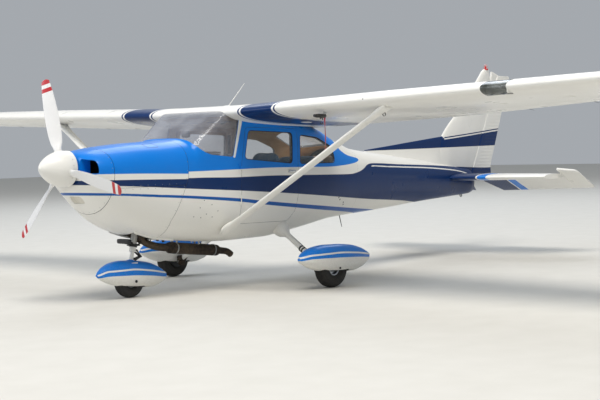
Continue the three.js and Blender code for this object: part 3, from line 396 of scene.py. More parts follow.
# exhaust: stainless turned brown and grey by heat, then dusty
heatedSteel = grained("heat_browned_stainless_steel", "exhaust_steel", "#55483a", "#2e2823", 6, 0.6, 0.62, metal=0.55)
castIron = grained("sand_cast_engine_metal", "engine_iron", "#4d4f51", "#37383a", 2, 0.4, 0.6, metal=0.6)
blackPaint = grained("black_satin_paint", "panel_plastic", "#18191b", "#26272a", 1.2, 0.08, 0.42)
rubber = grained("vulcanised_tyre_rubber", "tyre_rubber", "#1b1b1c", "#33312d", 2.5, 0.5, 0.85)
gasket = grained("extruded_black_rubber", "tyre_rubber", "#141516", "#202122", 1.5, 0.1, 0.6)
vinylTrim = grained("tan_vinyl_on_board", "cabin_trim", "#c0a27c", "#a98b66", 1.6, 0.25, 0.62)
carpet = grained("loop_pile_carpet", "cabin_trim", "#6f6a60", "#59554d", 3, 1.5, 0.95, sheen=0.3)
panelPlastic = grained("crackle_black_panel_paint", "panel_plastic", "#1d1e20", "#2c2d30", 0.8, 0.12, 0.7)
redPaint = enamel("red_gloss_enamel", "white_paint", "#c4161c")
ribbonCloth = grained("red_polyester_webbing", "seat_fabric", "#c81f35", "#a5162a", 1.5, 0.3, 0.8, sheen=0.4)


# Stretched acrylic sheet, 5 mm: clear and glossy, with the grey veil of fine polishing scratches; toward the
# edges of a curve the sheet turns from see-through to opaque, so its gloss shows there and its tint is a painted
# reflection.
def acrylic(name, tint, veil, rough=0.03):
    material, tree, shader = newMaterial(name, "window_acrylic", IOR=1.49)
    place = addNode(tree, "TexCoord", out="Object")
    haze = addNode(tree, "TexNoise", {"Vector": place, "Scale": 3.5, "Detail": 4})
    smear = addNode(tree, "MapRange", (haze, 0.3, 0.75, rough, rough + 0.05))
    milk = addNode(tree, "MapRange", (haze, 0.35, 0.75, 0.0, 0.3))
    shade = addNode(tree, "Mix", {0: milk, 6: colour(tint), 7: colour("#f2f6f7")}, data_type="RGBA", out=2)
    veilOpacity = addNode(tree, "MapRange", (haze, 0.35, 0.7, veil * 0.7, veil * 1.3))
    facing = addNode(tree, "LayerWeight", (0.5,), out="Facing")
    # alpha raised at grazing angles: the tint colour shown there is a painted reflection, with the real gloss
    mirror = addNode(tree, "MapRange", (facing, 0.55, 1.0, 0.0, 0.6))
    solid = addNode(tree, "Math", (veilOpacity, mirror), operation="ADD", use_clamp=True)
    ripple = addNode(tree, "TexNoise", {"Vector": place, "Scale": 4, "Detail": 1})
    bump = addNode(tree, "Bump", {"Strength": 0.04, "Distance": 0.02, "Height": ripple})
    wire(tree, shader, {"Base Color": shade, "Roughness": smear, "Alpha": solid, "Normal": bump})
    return material


glass = acrylic("clear_acrylic_sheet", "#dfe6e8", 0.07)
# the windshield's heavier grey veil is partly scratch haze and partly a painted reflection
screenGlass = acrylic("windshield_acrylic_sheet", "#8d919e", 0.32, 0.05)
# the lamp cover's dark green-grey is a painted reflection of the dark ground
lampCover = acrylic("lamp_cover_painted_ground_reflection", "#2c3328", 0.62)
redLens = acrylic("red_moulded_lens", "#e02a14", 0.8, 0.1)
greenLens = acrylic("green_moulded_lens", "#12a04a", 0.8, 0.1)
whiteLens = acrylic("white_moulded_lens", "#f4f4ee", 0.8, 0.1)
print("materials made")


# fuselage
hull = dict(
    # x, bottom, top, half width, height of the widest line, squareness above and below
    stations=[
        (-1000, 1180, 1470, 250, 1330, 2.1, 2.1), (-975, 1130, 1497, 330, 1328, 2.2, 2.0),
        (-930, 1070, 1515, 378, 1322, 2.3, 1.9), (-860, 985, 1532, 412, 1310, 2.4, 1.9),
        (-770, 890, 1548, 436, 1295, 2.5, 2.0), (-600, 762, 1568, 460, 1278, 2.7, 2.15),
        (-330, 655, 1591, 484, 1258, 2.9, 2.4), (-60, 590, 1604, 505, 1245, 3.0, 2.7),
        (250, 556, 1622, 527, 1230, 3.3, 2.9), (480, 535, 1778, 540, 1215, 6, 3.0),
        (600, 523, 1855, 545, 1208, 9, 3.1), (720, 512, 1938, 548, 1200, 12, 3.2),
        (1000, 503, 1990, 552, 1190, 8, 3.3), (1500, 506, 1950, 550, 1190, 6, 3.3),
        (1900, 542, 1865, 538, 1190, 5, 3.1), (2330, 596, 1752, 505, 1185, 3.8, 3.0),
        (2700, 642, 1622, 458, 1170, 3.2, 2.8), (3100, 665, 1490, 402, 1150, 2.8, 2.6),
        (3700, 692, 1415, 325, 1120, 2.5, 2.4), (4700, 752, 1300, 205, 1080, 2.3, 2.3),
        (5500, 790, 1195, 122, 1040, 2.2, 2.2), (5870, 808, 1145, 86, 1000, 2.2, 2.2),
        (5965, 830, 1110, 62, 980, 2.2, 2.2)],
    screenFoot=250, screenHead=720, span=620, bowlRear=-770, splitZ=1150, cabinRear=3000,
    cowlJoint=[(150, 1750), (140, 1230), (-40, 790), (-60, 400)],
    windshield=[(262, 1660), (286, 1562), (327, 1514), (381, 1478), (464, 1452), (764, 1422), (809, 1607), (860, 1798),
                (895, 1990), (400, 1990)],
    postStrip=[(764, 1418), (774, 1438), (815, 1606), (866, 1797), (900, 1985), (948, 1985), (912, 1796),
               (850, 1606), (800, 1436), (790, 1412)],
    door=[(868, 705), (888, 1330), (960, 1735), (1800, 1715), (1796, 1000), (1755, 800), (1660, 690)],
    doorWindow=[(940, 1398), (1004, 1700), (1714, 1670), (1698, 1330)],
    rearWindow=[(1832, 1322), (1852, 1645), (2192, 1612), (2468, 1502), (2506, 1318)],
    backWindow=[(2420, 1560), (2420, 1900), (2920, 1900), (2920, 1535), (2800, 1520)], backHalf=380,
    inlet=[(192, 1296), (430, 1292), (430, 1434), (280, 1441), (192, 1450)], inletRear=-920,
    scoop=[(-95, 1000), (95, 1000), (95, 1075), (-95, 1075)],
)
stations = np.array(hull["stations"], float)


# Every column of the table at x: smooth before and behind the windshield, straight along it.
def hullRow(x):
    foot, head = hull["screenFoot"], hull["screenHead"]
    front, rear = stations[stations[:, 0] <= foot], stations[stations[:, 0] >= head]
    x = np.clip(x, stations[0, 0], stations[-1, 0])
    columns = []
    for k in range(1, 7):
        middle = np.interp(x, stations[:, 0], stations[:, k])
        columns.append(np.where(x < foot, smoothCurve(np.minimum(x, foot), front[:, 0], front[:, k]),
                                np.where(x > head, smoothCurve(np.maximum(x, head), rear[:, 0], rear[:, k]), middle)))
    return columns


# Skin point at station x and angle a: y = half cos(a) r and z = widest + reach sin(a) r,
# with r = (|cos a|^e + |sin a|^e)^(-1/e), so a ring is a box with rounded corners.
def hullAt(x, angle, inset=0.0):
    x, angle = np.broadcast_arrays(np.asarray(x, float), angle)
    bottom, top, half, widest, upper, lower = hullRow(x)
    c, s = np.cos(angle), np.sin(angle)
    power = np.where(s > 0, upper, lower)
    r = (np.abs(c) ** power + np.abs(s) ** power) ** (-1 / power)
    reach = np.where(s > 0, top - widest, widest - bottom) - inset
    return np.stack([x, (half - inset) * c * r, widest + reach * s * r], -1)


# Half width of the skin at station x and height z.
def hullSide(x, z, inset=0.0):
    bottom, top, half, widest, upper, lower = hullRow(np.asarray(x, float))
    power = np.where(z > widest, upper, lower)
    reach = np.where(z > widest, top - widest, widest - bottom) - inset
    share = np.clip(np.abs(z - widest) / reach, 0, 1)
    return (half - inset) * (1 - share ** power) ** (1 / power)


# The nose as a function of s, the distance over the skin from the rim of the shaft hole: first
# across the flat face, then back along the side.
faceShare = 0.3
sideDense = -1000 + 230 * np.linspace(0, 1, 400)
sideHalf = hullRow(sideDense)[2]
faceLength = (1 - faceShare) * sideHalf[0]
sideLength = faceLength + lengthAlong(np.column_stack([sideDense, sideHalf]))
noseAxis = np.array([0, 0, 1345.0])


def noseAt(s, angle):
    s, angle = np.broadcast_arrays(np.asarray(s, float), angle)
    points = hullAt(np.interp(s, sideLength, sideDense), angle)
    share = np.clip(faceShare + (1 - faceShare) * s / faceLength, faceShare, 1)
    points[..., 1:] = noseAxis[1:] + (points[..., 1:] - noseAxis[1:]) * share[..., None]
    points[..., 0] -= 5 * (1 - share ** 2)
    return points


# Wing section: half thickness and camber line of a four-digit section, as fractions of the chord.
wing = dict(rootY=560, breakY=2540, tipY=5410, tipEnd=5475, rootChord=1630, tipChord=1120, leadX=698, leadZ=1876,
            dihedral=0.0302, tipSweep=60, tilt=math.radians(5.7), thickness=0.12, camber=0.02,
            flapAt=0.71, aileronAt=0.76, flap=(600, 2524), aileron=(2568, 5180), bead=52, beadHeight=2.4, tipRoot=5186)


def foilAt(f, thickness=wing["thickness"], camber=wing["camber"]):
    half = 5 * thickness * (0.2969 * np.sqrt(f) - 0.126 * f - 0.3516 * f ** 2 + 0.2843 * f ** 3 - 0.1036 * f ** 4)
    line = np.where(f < 0.4, camber / 0.16 * (0.8 * f - f * f), camber / 0.36 * (0.2 + 0.8 * f - f * f))
    return line + half, line - half


def wingRow(y):
    outboard = np.clip((np.abs(y) - wing["breakY"]) / (wing["tipY"] - wing["breakY"]), 0, None)
    return (wing["leadX"] + wing["tipSweep"] * outboard, wing["leadZ"] + wing["dihedral"] * np.abs(y),
            wing["rootChord"] + (wing["tipChord"] - wing["rootChord"]) * outboard)


# A point of the wing from y and its place along and above the chord line, in mm.
def wingPoint(y, along, up):
    y, along, up = np.broadcast_arrays(np.asarray(y, float), along, up)
    x, z, _ = wingRow(y)
    c, n = math.cos(wing["tilt"]), math.sin(wing["tilt"])
    return np.stack([x + along * c + up * n, y, z - along * n + up * c], -1)


def rootOutline(count=40, grow=0.0):
    f = (1 - np.cos(np.linspace(0, math.pi, count))) / 2
    up, low = foilAt(f)
    chord = wing["rootChord"]
    along = np.concatenate([f[::-1], f[1:]]) * chord
    height = np.concatenate([up[::-1] * chord + grow, low[1:] * chord - grow])
    return wingPoint(-wing["rootY"], along, height)[:, [0, 2]]


# the skin runs 14 mm up into the wing root, so the strip above the doors stays whole
roofHole = np.vstack([rootOutline(grow=-14)[39:], [(2326, 2300), (690, 2300)]])


def belowRoof(points):
    return -polygonDistance(points[..., 0], points[..., 2], roofHole)


# Paint scheme in side view: the lower edge of the bright blue, the navy band and the pinstripe.
scheme = dict(
    cowlBlue=[(-1050, 1297), (-830, 1293), (-475, 1286), (-150, 1275), (200, 1262)],
    cabinBlue=[(-100, 1286), (300, 1286), (860, 1289), (1225, 1292), (1830, 1284), (2409, 1272), (2722, 1283),
               (2900, 1297), (3010, 1314), (3066, 1340), (3050, 1352), (2810, 1397), (2690, 1446), (2600, 1528),
               (2560, 1800)],
    cowlWhite=[(-1050, 1236), (-830, 1233), (-475, 1226), (200, 1209)],
    cabinWhite=[(-100, 1221), (300, 1218), (860, 1205), (1225, 1205), (1830, 1194), (2400, 1181), (2836, 1173),
                (3035, 1196), (3150, 1232), (3230, 1272), (3330, 1287), (4036, 1257), (4824, 1224), (5371, 1196),
                (5600, 1176)],
    navyLow=[(-1050, 1196), (-736, 1174), (-355, 1148), (101, 1114), (853, 1061), (1564, 1005), (2402, 931),
             (3285, 855), (4102, 797), (4700, 740)],
    pinTop=[(-1050, 1120), (-680, 1097), (-350, 1074), (102, 1042), (852, 978), (1304, 924), (2228, 830),
            (3143, 747), (3800, 690)],
    pinLow=[(-1050, 1092), (-674, 1074), (-348, 1048), (103, 1014), (854, 942), (1307, 884), (2251, 782),
            (3110, 699), (3400, 660)],
    thinLine=[(3318, 1256), (4019, 1224), (4650, 1197), (5048, 1172), (5510, 1131), (5951, 1042)],
    finBase=[(5330, 1196), (5654, 1180), (6456, 1151), (6560, 1151), (6560, 900), (5330, 900)],
    finBand=[(3640, 1437), (4500, 1442), (5328, 1449), (6577, 1459), (7100, 1463), (7100, 1700), (6649, 1664),
             (5328, 1556)],
    dorsal=[(3640, 1437), (4500, 1442), (5328, 1449), (5328, 1552), (5275, 1640), (3640, 1520)],
)


# Signed distances into the three colours for side-view points, behind the cowl or on it.
def sidePaint(points, onCowl=False):
    x, z = points[..., 0], points[..., 2]
    name = "cowl" if onCowl else "cabin"
    blueEdge = smoothLine(scheme[name + "Blue"], 120)
    above = [(blueEdge[-1, 0], 2400), (-1100, 2400), (-1100, blueEdge[0, 1])]
    blue = polygonDistance(x, z, np.vstack([blueEdge, above]))
    top, bottom = smoothLine(scheme[name + "White"], 120), smoothLine(scheme["navyLow"])
    rear = [(200, 1100)] if onCowl else [(6000, 1120), (6000, 600), (4700, 600)]
    navy = polygonDistance(x, z, np.vstack([top, rear, bottom[::-1]]))
    if not onCowl:
        line = smoothLine(scheme["thinLine"])
        ribbon = np.vstack([line + (0, 7.5), (line - (0, 7.5))[::-1]])
        navy = np.maximum(navy, polygonDistance(x, z, smoothLine(scheme["finBase"], 80)))
        navy = np.minimum(navy, -polygonDistance(x, z, ribbon))
        edge = np.array(scheme["finBand"])[[7, 6, 5]]
        pinline = np.vstack([edge + (0, 34), (edge + (0, 18))[::-1]])
        areas = (scheme["finBand"], scheme["dorsal"], pinline)
        navy = np.max([navy] + [polygonDistance(x, z, area) for area in areas], 0)
    pin = polygonDistance(x, z, np.vstack([smoothLine(scheme["pinTop"]), smoothLine(scheme["pinLow"])[::-1]]))
    return dict(blueField=blue, navyField=navy, pinField=pin)


def cowlPaint(points):
    return sidePaint(points, True)


def cowlSide(points):
    joint = [*hull["cowlJoint"], (-2000, 400), (-2000, 1750)]
    return polygonDistance(points[..., 0], points[..., 2], joint)


# One panel of the skin: the part of the grid where the distance is positive, with its own wall.
def hullPanel(name, spanX, angles, cell, distance, depth, finish, hides=(), body="fuselage", inset=0.0,
              surface=None, fields=None, span=hull["span"], stretch=1.0):
    surface = surface or (lambda x, a: hullAt(x, a, inset))
    rows = max(4, int((spanX[1] - spanX[0]) / cell / stretch) + 1)
    cols = max(4, int((angles[1] - angles[0]) * span / cell) + 1)
    u, v = (g.ravel() for g in np.meshgrid(np.linspace(*spanX, rows), np.linspace(*angles, cols), indexing="ij"))
    points, faces = cutSurface(surface, u, v, gridFaces(rows, cols), distance, cell, span)
    faces = facingOut(points, faces, (points[:, 0].mean(), 0, 1200))
    return makePiece(name, thicken(points, faces, depth), finish, body, hides, fields)


port, starboard, whole = (math.pi / 2, 1.5 * math.pi), (-math.pi / 2, math.pi / 2), (0.0, turn)
seam = 1.5  # half the gap between two panels


def bowlDistance(points):
    x, y, z = np.moveaxis(points, -1, 0)
    slot, ahead = roundedDistance(np.abs(y), z, hull["inlet"], 12), hull["inletRear"] - x
    # two edges meet in a corner of radius 24: d = r - |(r - a, r - b)|
    inlets = np.where((slot < 24) & (ahead < 24), 24 - np.hypot(24 - slot, 24 - ahead), np.minimum(slot, ahead))
    scoop = roundedDistance(y, z, hull["scoop"], 30)
    return np.minimum(-inlets, np.where(x < -700, -scoop, 1e3))


hullPanel("nose_bowl_skin", (0, sideLength[-1] - 2), whole, 10, bowlDistance, 12, [skin, blueEnamel, skin],
          ["nose_bowl"], surface=noseAt, fields=cowlPaint, span=330)


def cowlUpperDistance(points):
    return np.minimum(cowlSide(points) - seam, points[..., 2] - hull["splitZ"] - seam)


def cowlLowerDistance(points):
    x, y, z = np.moveaxis(points, -1, 0)
    opening = np.minimum(np.minimum(x + 340, 200 - x), np.minimum(190 - np.abs(y), 720 - z))
    return np.minimum(np.minimum(cowlSide(points) - seam, hull["splitZ"] - seam - z), -opening)


for part, distance in (("cowl_upper", cowlUpperDistance), ("cowl_lower", cowlLowerDistance)):
    hullPanel(part + "_skin", (hull["bowlRear"] + 2, 165), whole, 18, distance, 3, [skin, innerSkin, gapShadeAndBareMetal],
              [part], fields=cowlPaint)


def windowDistance(points, corners, radius):
    return roundedDistance(points[..., 0], points[..., 2], corners, radius)


def backWindowDistance(points):
    return np.minimum(windowDistance(points, hull["backWindow"], 30), hull["backHalf"] - np.abs(points[..., 1]))


def cabinDistance(points):
    door = offsetPolygon(hull["door"], 3)
    parts = [-cowlSide(points) - seam, hull["cabinRear"] - 0.5 - points[..., 0],
             -windowDistance(points, hull["windshield"], 30), -windowDistance(points, door, 48),
             -windowDistance(points, hull["rearWindow"], 48), -backWindowDistance(points), belowRoof(points)]
    return np.min(parts, 0)


hullPanel("cabin_skin", (-70, hull["cabinRear"] - 0.5), whole, 18, cabinDistance, 30, [skin, vinylTrim, gapShadeAndBareMetal],
          ["cabin_shell"], fields=sidePaint)
finSlot = [(5900, 1062), (6200, 1062), (6200, 1300), (5945, 1300)]
hullPanel("tailcone_skin", (hull["cabinRear"] + 0.5, 5965), whole, 15,
          lambda p: -polygonDistance(p[..., 0], p[..., 2], finSlot), 3, [skin, innerSkin, gapShadeAndBareMetal],
          ["tailcone"], fields=sidePaint, span=350, stretch=1.5)


def doorDistance(points):
    return np.minimum(windowDistance(points, hull["door"], 45), -windowDistance(points, hull["doorWindow"], 45))


for side, angles in (("port", port), ("starboard", starboard)):
    body = "door_" + side
    hullPanel("door_skin_" + side, (840, 1820), angles, 14, doorDistance, 32, [skin, vinylTrim, gapShadeAndBareMetal],
              [body], body, fields=sidePaint)
    for name, key, radius, spanX, node, rides in (
            ("door_glass_", "doorWindow", 45, (950, 1750), "door_window_", body),
            ("rear_side_glass_", "rearWindow", 48, (1830, 2490), "rear_side_window_", "fuselage")):
        outline = offsetPolygon(hull[key], 2)
        hullPanel(name + side, spanX, angles, 26, lambda p: windowDistance(p, outline, radius), 5, glass,
                  [node + side], rides, inset=9)
hullPanel("windshield_sheet", (250, 910), whole, 16,
          lambda p: np.minimum(windowDistance(p, hull["windshield"], 30), belowRoof(p)), 6, screenGlass,
          ["windshield"], inset=6)
# frames: a white strip down each windshield post, 2.5 mm proud, and black rubber round the side windows
hullPanel("windshield_post_strips", (740, 960), whole, 9,
          lambda p: np.minimum(windowDistance(p, hull["postStrip"], 8), belowRoof(p)), 2.5, whiteEnamel, inset=-2.5)


# A closed outline with its corners rounded by parabolas, in even steps.
def roundedPath(corners, radius, step):
    corners = np.array(corners, float)
    before, after = np.roll(corners, 1, 0) - corners, np.roll(corners, -1, 0) - corners
    before, after = (side / np.linalg.norm(side, axis=1)[:, None] * radius for side in (before, after))
    t = np.linspace(0, 1, 9)[None, :, None]
    corner, first, last = (a[:, None] for a in (corners, corners + before, corners + after))
    bends = ((1 - t) ** 2 * first + 2 * t * (1 - t) * corner + t * t * last).reshape(-1, 2)
    ring = np.vstack([bends, bends[:1]])
    length = lengthAlong(ring)
    at = np.linspace(0, length[-1], int(length[-1] / step) + 1)
    return np.column_stack([np.interp(at, length, column) for column in ring.T])


for side, sign in sides:
    for name, window, body in (("door_window_gasket_", "doorWindow", "door_" + side),
                               ("rear_window_gasket_", "rearWindow", "fuselage")):
        x, z = roundedPath(offsetPolygon(hull[window], 1), 48, 9).T
        makePiece(name + side, tube(np.column_stack([x, sign * (hullSide(x, z) - 2.5), z]), 4.2, 8), gasket, body)
hullPanel("rear_window_sheet", (2330, 2935), (0.2, math.pi - 0.2), 20,
          lambda p: np.minimum(backWindowDistance(p), belowRoof(p)), 5, glass, ["rear_window"], inset=6)
print("fuselage skinned")


# wings

# Closed ring rows with a point in the middle of the first and last ring.
def capped(rings):
    ends = rings.mean(1, keepdims=True)
    first, last = (np.broadcast_to(end, rings[:1].shape) for end in (ends[:1], ends[-1:]))
    rings = np.concatenate([first, rings, last])
    return rings.reshape(-1, 3), gridFaces(rings.shape[0], rings.shape[1], closedCols=True)


# Half thickness and middle of the section at a fraction of the chord, and the chord.
def halfAt(y, f):
    chord = wingRow(y)[2]
    up, low = foilAt(f)
    return (up - low) / 2 * chord, (up + low) / 2 * chord, chord


# Wing section ahead of a moving surface: the foil as far as two lips 15 mm before the hinge line,
# f = lip |s|^1.8, then a hollow round the hinge of radius R + 1 + 6 sin^2.
def coveRings(y, at, count=40):
    y = np.asarray(y, float)[:, None]
    radius, middle, chord = halfAt(y, np.float64(at))
    s = np.linspace(-1, 1, 2 * count + 1)[None, :]
    f = (at - 15 / chord) * np.abs(s) ** 1.8
    up, low = foilAt(f)
    skinPart = wingPoint(y, f * chord, np.where(s < 0, up, low) * chord)
    share = np.linspace(0, 1, 12)[None, 1:-1]
    start = turn / 2 + np.arccos(15 / radius)
    angle = start + (turn - 2 * start) * share
    rho = radius + 1 + 6 * np.sin(share * math.pi) ** 2
    cove = wingPoint(y, at * chord + rho * np.cos(angle), middle + rho * np.sin(angle))
    return np.concatenate([skinPart, cove], 1)


# The whole section at each y, as places along and above the chord line, never thinner than 1.2 mm.
def fullRings(y, count=44, blunt=1.2):
    y = np.asarray(y, float)[:, None]
    s = np.linspace(-1, 1, 2 * count + 1)[None, :]
    f = np.abs(s) ** 1.8
    half, line, chord = halfAt(y, f)
    half = np.maximum(half, blunt * np.abs(s))
    return f * chord, line + np.where(s < 0, half, -half), y, chord


# Raised beads rolled across a control surface at a pitch: height times cos^1.5 of the span position.
def beads(y, pitch, height):
    return height * np.clip(np.cos(y / pitch * turn), 0, 1) ** 1.5


# Flap or aileron: foil behind the hinge, round nose, beaded skins.
def movingRings(y, at, count=18):
    y = np.asarray(y, float)[:, None]
    radius, middle, chord = halfAt(y, np.float64(at))
    t = np.linspace(0, 1, count)[None, :] ** 0.9
    f = at + (1 - at) * t
    half, line, _ = halfAt(y, f)
    half = np.maximum(half, 1.5)
    reach = np.clip((t - 0.12) / 0.1, 0, 1) * np.clip((0.97 - t) / 0.06, 0, 1)
    ridge = beads(y, wing["bead"], wing["beadHeight"]) * reach
    angle = np.linspace(turn / 4, 3 * turn / 4, 11)[None, 1:-1]
    upper = wingPoint(y, f * chord, line + half + ridge)
    lower = wingPoint(y, f * chord, line - half - ridge)
    nose = wingPoint(y, at * chord + radius * np.cos(angle), middle + radius * np.sin(angle))
    return np.concatenate([upper[:, ::-1], nose, lower], 1)


# Bands round each wing root: navy, with a white and a navy pinline either side.
bands = dict(port=(740, 1180), starboard=(690, 1120), pin=22, space=26)


def wingPaint(points, side):
    y = np.abs(points[..., 1])
    navy, far = np.max([np.minimum(y - a, b - y) for a, b in bandEdges(side)], 0), np.full(len(y), -1e3)
    return dict(navyField=navy, blueField=far, pinField=far)


def bandEdges(side):
    inner, outer = bands[side]
    pin, space = bands["pin"], bands["space"]
    return [(inner, outer), (inner - space - pin, inner - space), (outer + space, outer + space + pin)]


def rowsOf(a, b, step):
    return np.linspace(a, b, int(abs(b - a) / step) + 2)


lightBay = dict(y=(-3990, -3720), depth=132)


# Distance outside the landing light's window, which wraps over the leading edge.
def lightDistance(points):
    x, y = points[..., 0], points[..., 1]
    edge = wingRow(y)[0] + lightBay["depth"]
    middle, half = sum(lightBay["y"]) / 2, (lightBay["y"][1] - lightBay["y"][0]) / 2
    return np.maximum(np.abs(y - middle) - half, x - edge)


# The wing tip: sections that shrink by a quarter circle toward the end.
def tipRings():
    share = np.linspace(0, 1, 14)
    y = wing["tipY"] + (wing["tipEnd"] - wing["tipY"]) * np.sin(share * math.pi / 2)
    along, up, rows, chord = fullRings(y)
    left = np.cos(share * math.pi / 2)[:, None]
    along = along * (0.93 + 0.07 * left) + 0.03 * chord * (1 - left)
    return wingPoint(rows, along, up * np.maximum(left, 0.06))


def buildWing(side, sign):
    # rows of points close to both sides of each painted edge keep the bands sharp
    lines = np.array([edge + d for pair in bandEdges(side) for edge in pair for d in (-11, -0.5, 0.5, 11)])
    rows = np.unique(np.concatenate([rowsOf(561, wing["breakY"], 60), lines[lines > 565]]))
    inner = capped(coveRings(rows, wing["flapAt"]))
    outer = capped(coveRings(rowsOf(wing["breakY"], wing["tipRoot"], 22 if sign < 0 else 60), wing["aileronAt"]))
    along, up, y, chord = fullRings(rowsOf(wing["tipRoot"], wing["tipY"], 40))
    shapes = [inner, outer, capped(np.concatenate([wingPoint(y, along, up), tipRings()]))]
    if sign < 0:
        shapes = [mirrored(shape) for shape in shapes]
        points, faces = shapes[1]
        faces = faces[lightDistance(points[faces].mean(1)) > 0]
        moving = np.unique(faces)
        near = moving[lightDistance(points[moving]) < 0]
        low, high = lightBay["y"]
        points[near, 1] = np.where(points[near, 1] > (low + high) / 2, high, low)
        shapes[1] = points, faces
    makePiece("wing_skin_" + side, shapes, skin, hides=["wing_" + side], fields=lambda p: wingPaint(p, side))
    for name in ("flap", "aileron"):
        points, faces = capped(movingRings(rowsOf(*wing[name], wing["bead"] / 6), wing[name + "At"]))
        body = f"{name}_{side}"
        makePiece(f"{name}_skin_{side}", (points * (1, sign, 1), faces), skin, body, [body],
                  lambda p: wingPaint(p, side))


for side, sign in sides:
    buildWing(side, sign)

# centre section over the cabin, its underside the cabin's ceiling
along, up, y, chord = fullRings(np.full(41, wing["rootY"]))
centreRings = wingPoint(y, along, up)
centreRings[..., 1] = np.linspace(-560.8, 560.8, 41)[:, None]
points, faces = capped(centreRings)
x, y, z = points[faces].mean(1).T
ceiling = (z < np.interp(x, [698, 2320], [1885, 1733])) & (np.abs(y) < 524) & (x > 730) & (x < 2305)
makePiece("centre_section", (points, faces, ceiling.astype(int)), [whiteEnamel, vinylTrim], hides=["cabin_roof"])

# root fairing strips over the joint between centre section and wing
for side, sign in sides:
    along, up, y, chord = fullRings(np.array([532.0, 534, 560, 592, 594]))
    lift = np.array([0, 2.2, 2.6, 2.2, 0])[:, None] * np.sign(np.linspace(1, -1, up.shape[1]))[None, :]
    strip = wingPoint(y, along, up + lift)[:, 2:-2] * (1, sign, 1)
    points, faces = strip.reshape(-1, 3), gridFaces(*strip.shape[:2])
    faces = facingOut(points, faces, points.mean(0), (0, 0, 1))
    makePiece("root_strip_" + side, thicken(points, faces, 1.6), whiteEnamel)

# landing light: two lamps in a reflecting tray whose green-black is painted shade inside the bay, behind a window on
# the leading edge whose dark colour is a painted reflection
y = rowsOf(lightBay["y"][0] + 1, lightBay["y"][1] - 1, 22)
along, up, rows, chord = fullRings(np.abs(y), count=60)
lens = wingPoint(rows, along, up)[:, along[0] < lightBay["depth"]] * (1, -1, 1)
makePiece("landing_light_window", sheetOf(lens, 2.5), lampCover, hides=["landing_light"])
trayX = wingRow(np.array([3855.0]))[0][0] + lightBay["depth"] - 6
trayZ = wingPoint(3855, 120, 0)[2]
tray = softBox((trayX - 16, -3982, trayZ - 47), (trayX + 4, -3724, trayZ + 52), 14)
# the tray's green-black is painted shade of the deep bay
trayShadePaint = grained("lamp_tray_painted_bay_shade", "window_acrylic", "#10231c", "#1c3a2e", 2, 0.1, 0.3, metal=0.6)
makePiece("landing_light_tray", tray, trayShadePaint)
mirror = grained("aluminised_reflector", "bare_aluminium", "#e8eaec", "#dcdfe2", 1, 0.01, 0.12, metal=1.0)
bowl = [(0, 8), (-2, 22), (-12, 42), (-26, 54), (-30, 55), (-30, 57), (-24, 57), (4, 40)]
face = [(-27, 0), (-28, 20), (-29, 40), (-28, 55), (-24, 55), (-24, 0)]
for n, lampY in enumerate((-3790, -3915)):
    for name, rows, finish in (("landing_lamp_", bowl, mirror), ("landing_lamp_glass_", face, glass)):
        makePiece(f"{name}{n + 1}", lathe(rows, (trayX - 12, lampY, trayZ), (1, 0, 0), 28), finish)
rib = softBox((trayX - 105, -3996, trayZ - 44), (trayX, -3985, trayZ + 50), 10)
makePiece("landing_light_rib", rib, whiteEnamel)

# struts: a flattened drop section carried from the belly to the wing, with a cuff at each end
strut = dict(foot=(660, 520, 648), head=(885, 2520, 1866), rows=[
    # y, half chord, half height
    (440, 26, 20), (466, 42, 31), (496, 61, 42), (530, 76, 49), (565, 80, 49), (604, 77, 44), (645, 70, 36),
    (695, 66, 30), (760, 64, 28), (1500, 64, 28), (2330, 64, 28), (2390, 65, 29), (2450, 76, 34),
    (2520, 86, 40), (2580, 92, 44)])


def strutShape(sign):
    rows = np.array(strut["rows"], float)
    y = np.concatenate([rowsOf(455, 780, 9), rowsOf(800, 2320, 80), rowsOf(2340, 2570, 12)])
    t = (y - strut["foot"][1]) / (strut["head"][1] - strut["foot"][1])
    x = strut["foot"][0] + (strut["head"][0] - strut["foot"][0]) * t
    z = strut["foot"][2] + (strut["head"][2] - strut["foot"][2]) * t
    chord, height = smoothCurve(y, rows[:, 0], rows[:, 1]), smoothCurve(y, rows[:, 0], rows[:, 2])
    a = np.arange(36) / 36 * turn
    wide = np.cos(a)[None, :] * chord[:, None]
    tall = np.sin(a)[None, :] * height[:, None] * (1 - 0.22 * np.cos(a)[None, :])
    rings = np.stack([x[:, None] + wide, np.broadcast_to(y[:, None] * sign, wide.shape), z[:, None] + tall], -1)
    return capped(rings)


# A forged ring to tie a rope to: a section of wide by thick mm at a mean radius.
def eyeRing(centre, axis, wide, radius, thick, count):
    a = np.arange(13) / 12 * turn
    return lathe(np.column_stack([wide * np.sin(a), radius + thick * np.cos(a)]), centre, axis, count)


for side, sign in sides:
    makePiece("strut_skin_" + side, strutShape(sign), whiteEnamel, hides=["wing_strut_" + side])
    ring = eyeRing((900, sign * 2490, 1802), (1, 0, 0), 8, 16, 4, 20)
    stem = tube([(900, sign * 2490, 1860), (900, sign * 2490, 1816)], 5)
    makePiece("tie_down_ring_" + side, [ring, stem], steel)

# pitot tube on its mast under the port wing, with a stall warning inlet in the leading edge
pitotY = -1780
pitot = [tube([(860, pitotY, 1812), (720, pitotY, 1813.5), (700, pitotY, 1814)], [13, 12, 9], 18),
         tube([(832, pitotY, 1816), (856, pitotY, 1866), (880, pitotY, 1915)], [9, 11, 14], 16, 2.6)]
makePiece("pitot_tube", pitot, bareAlloy)
makePiece("stall_warning_inlet", softBox((698, -2402, 1940), (712, -2378, 1958), 3), blackPaint)
print("wings made")


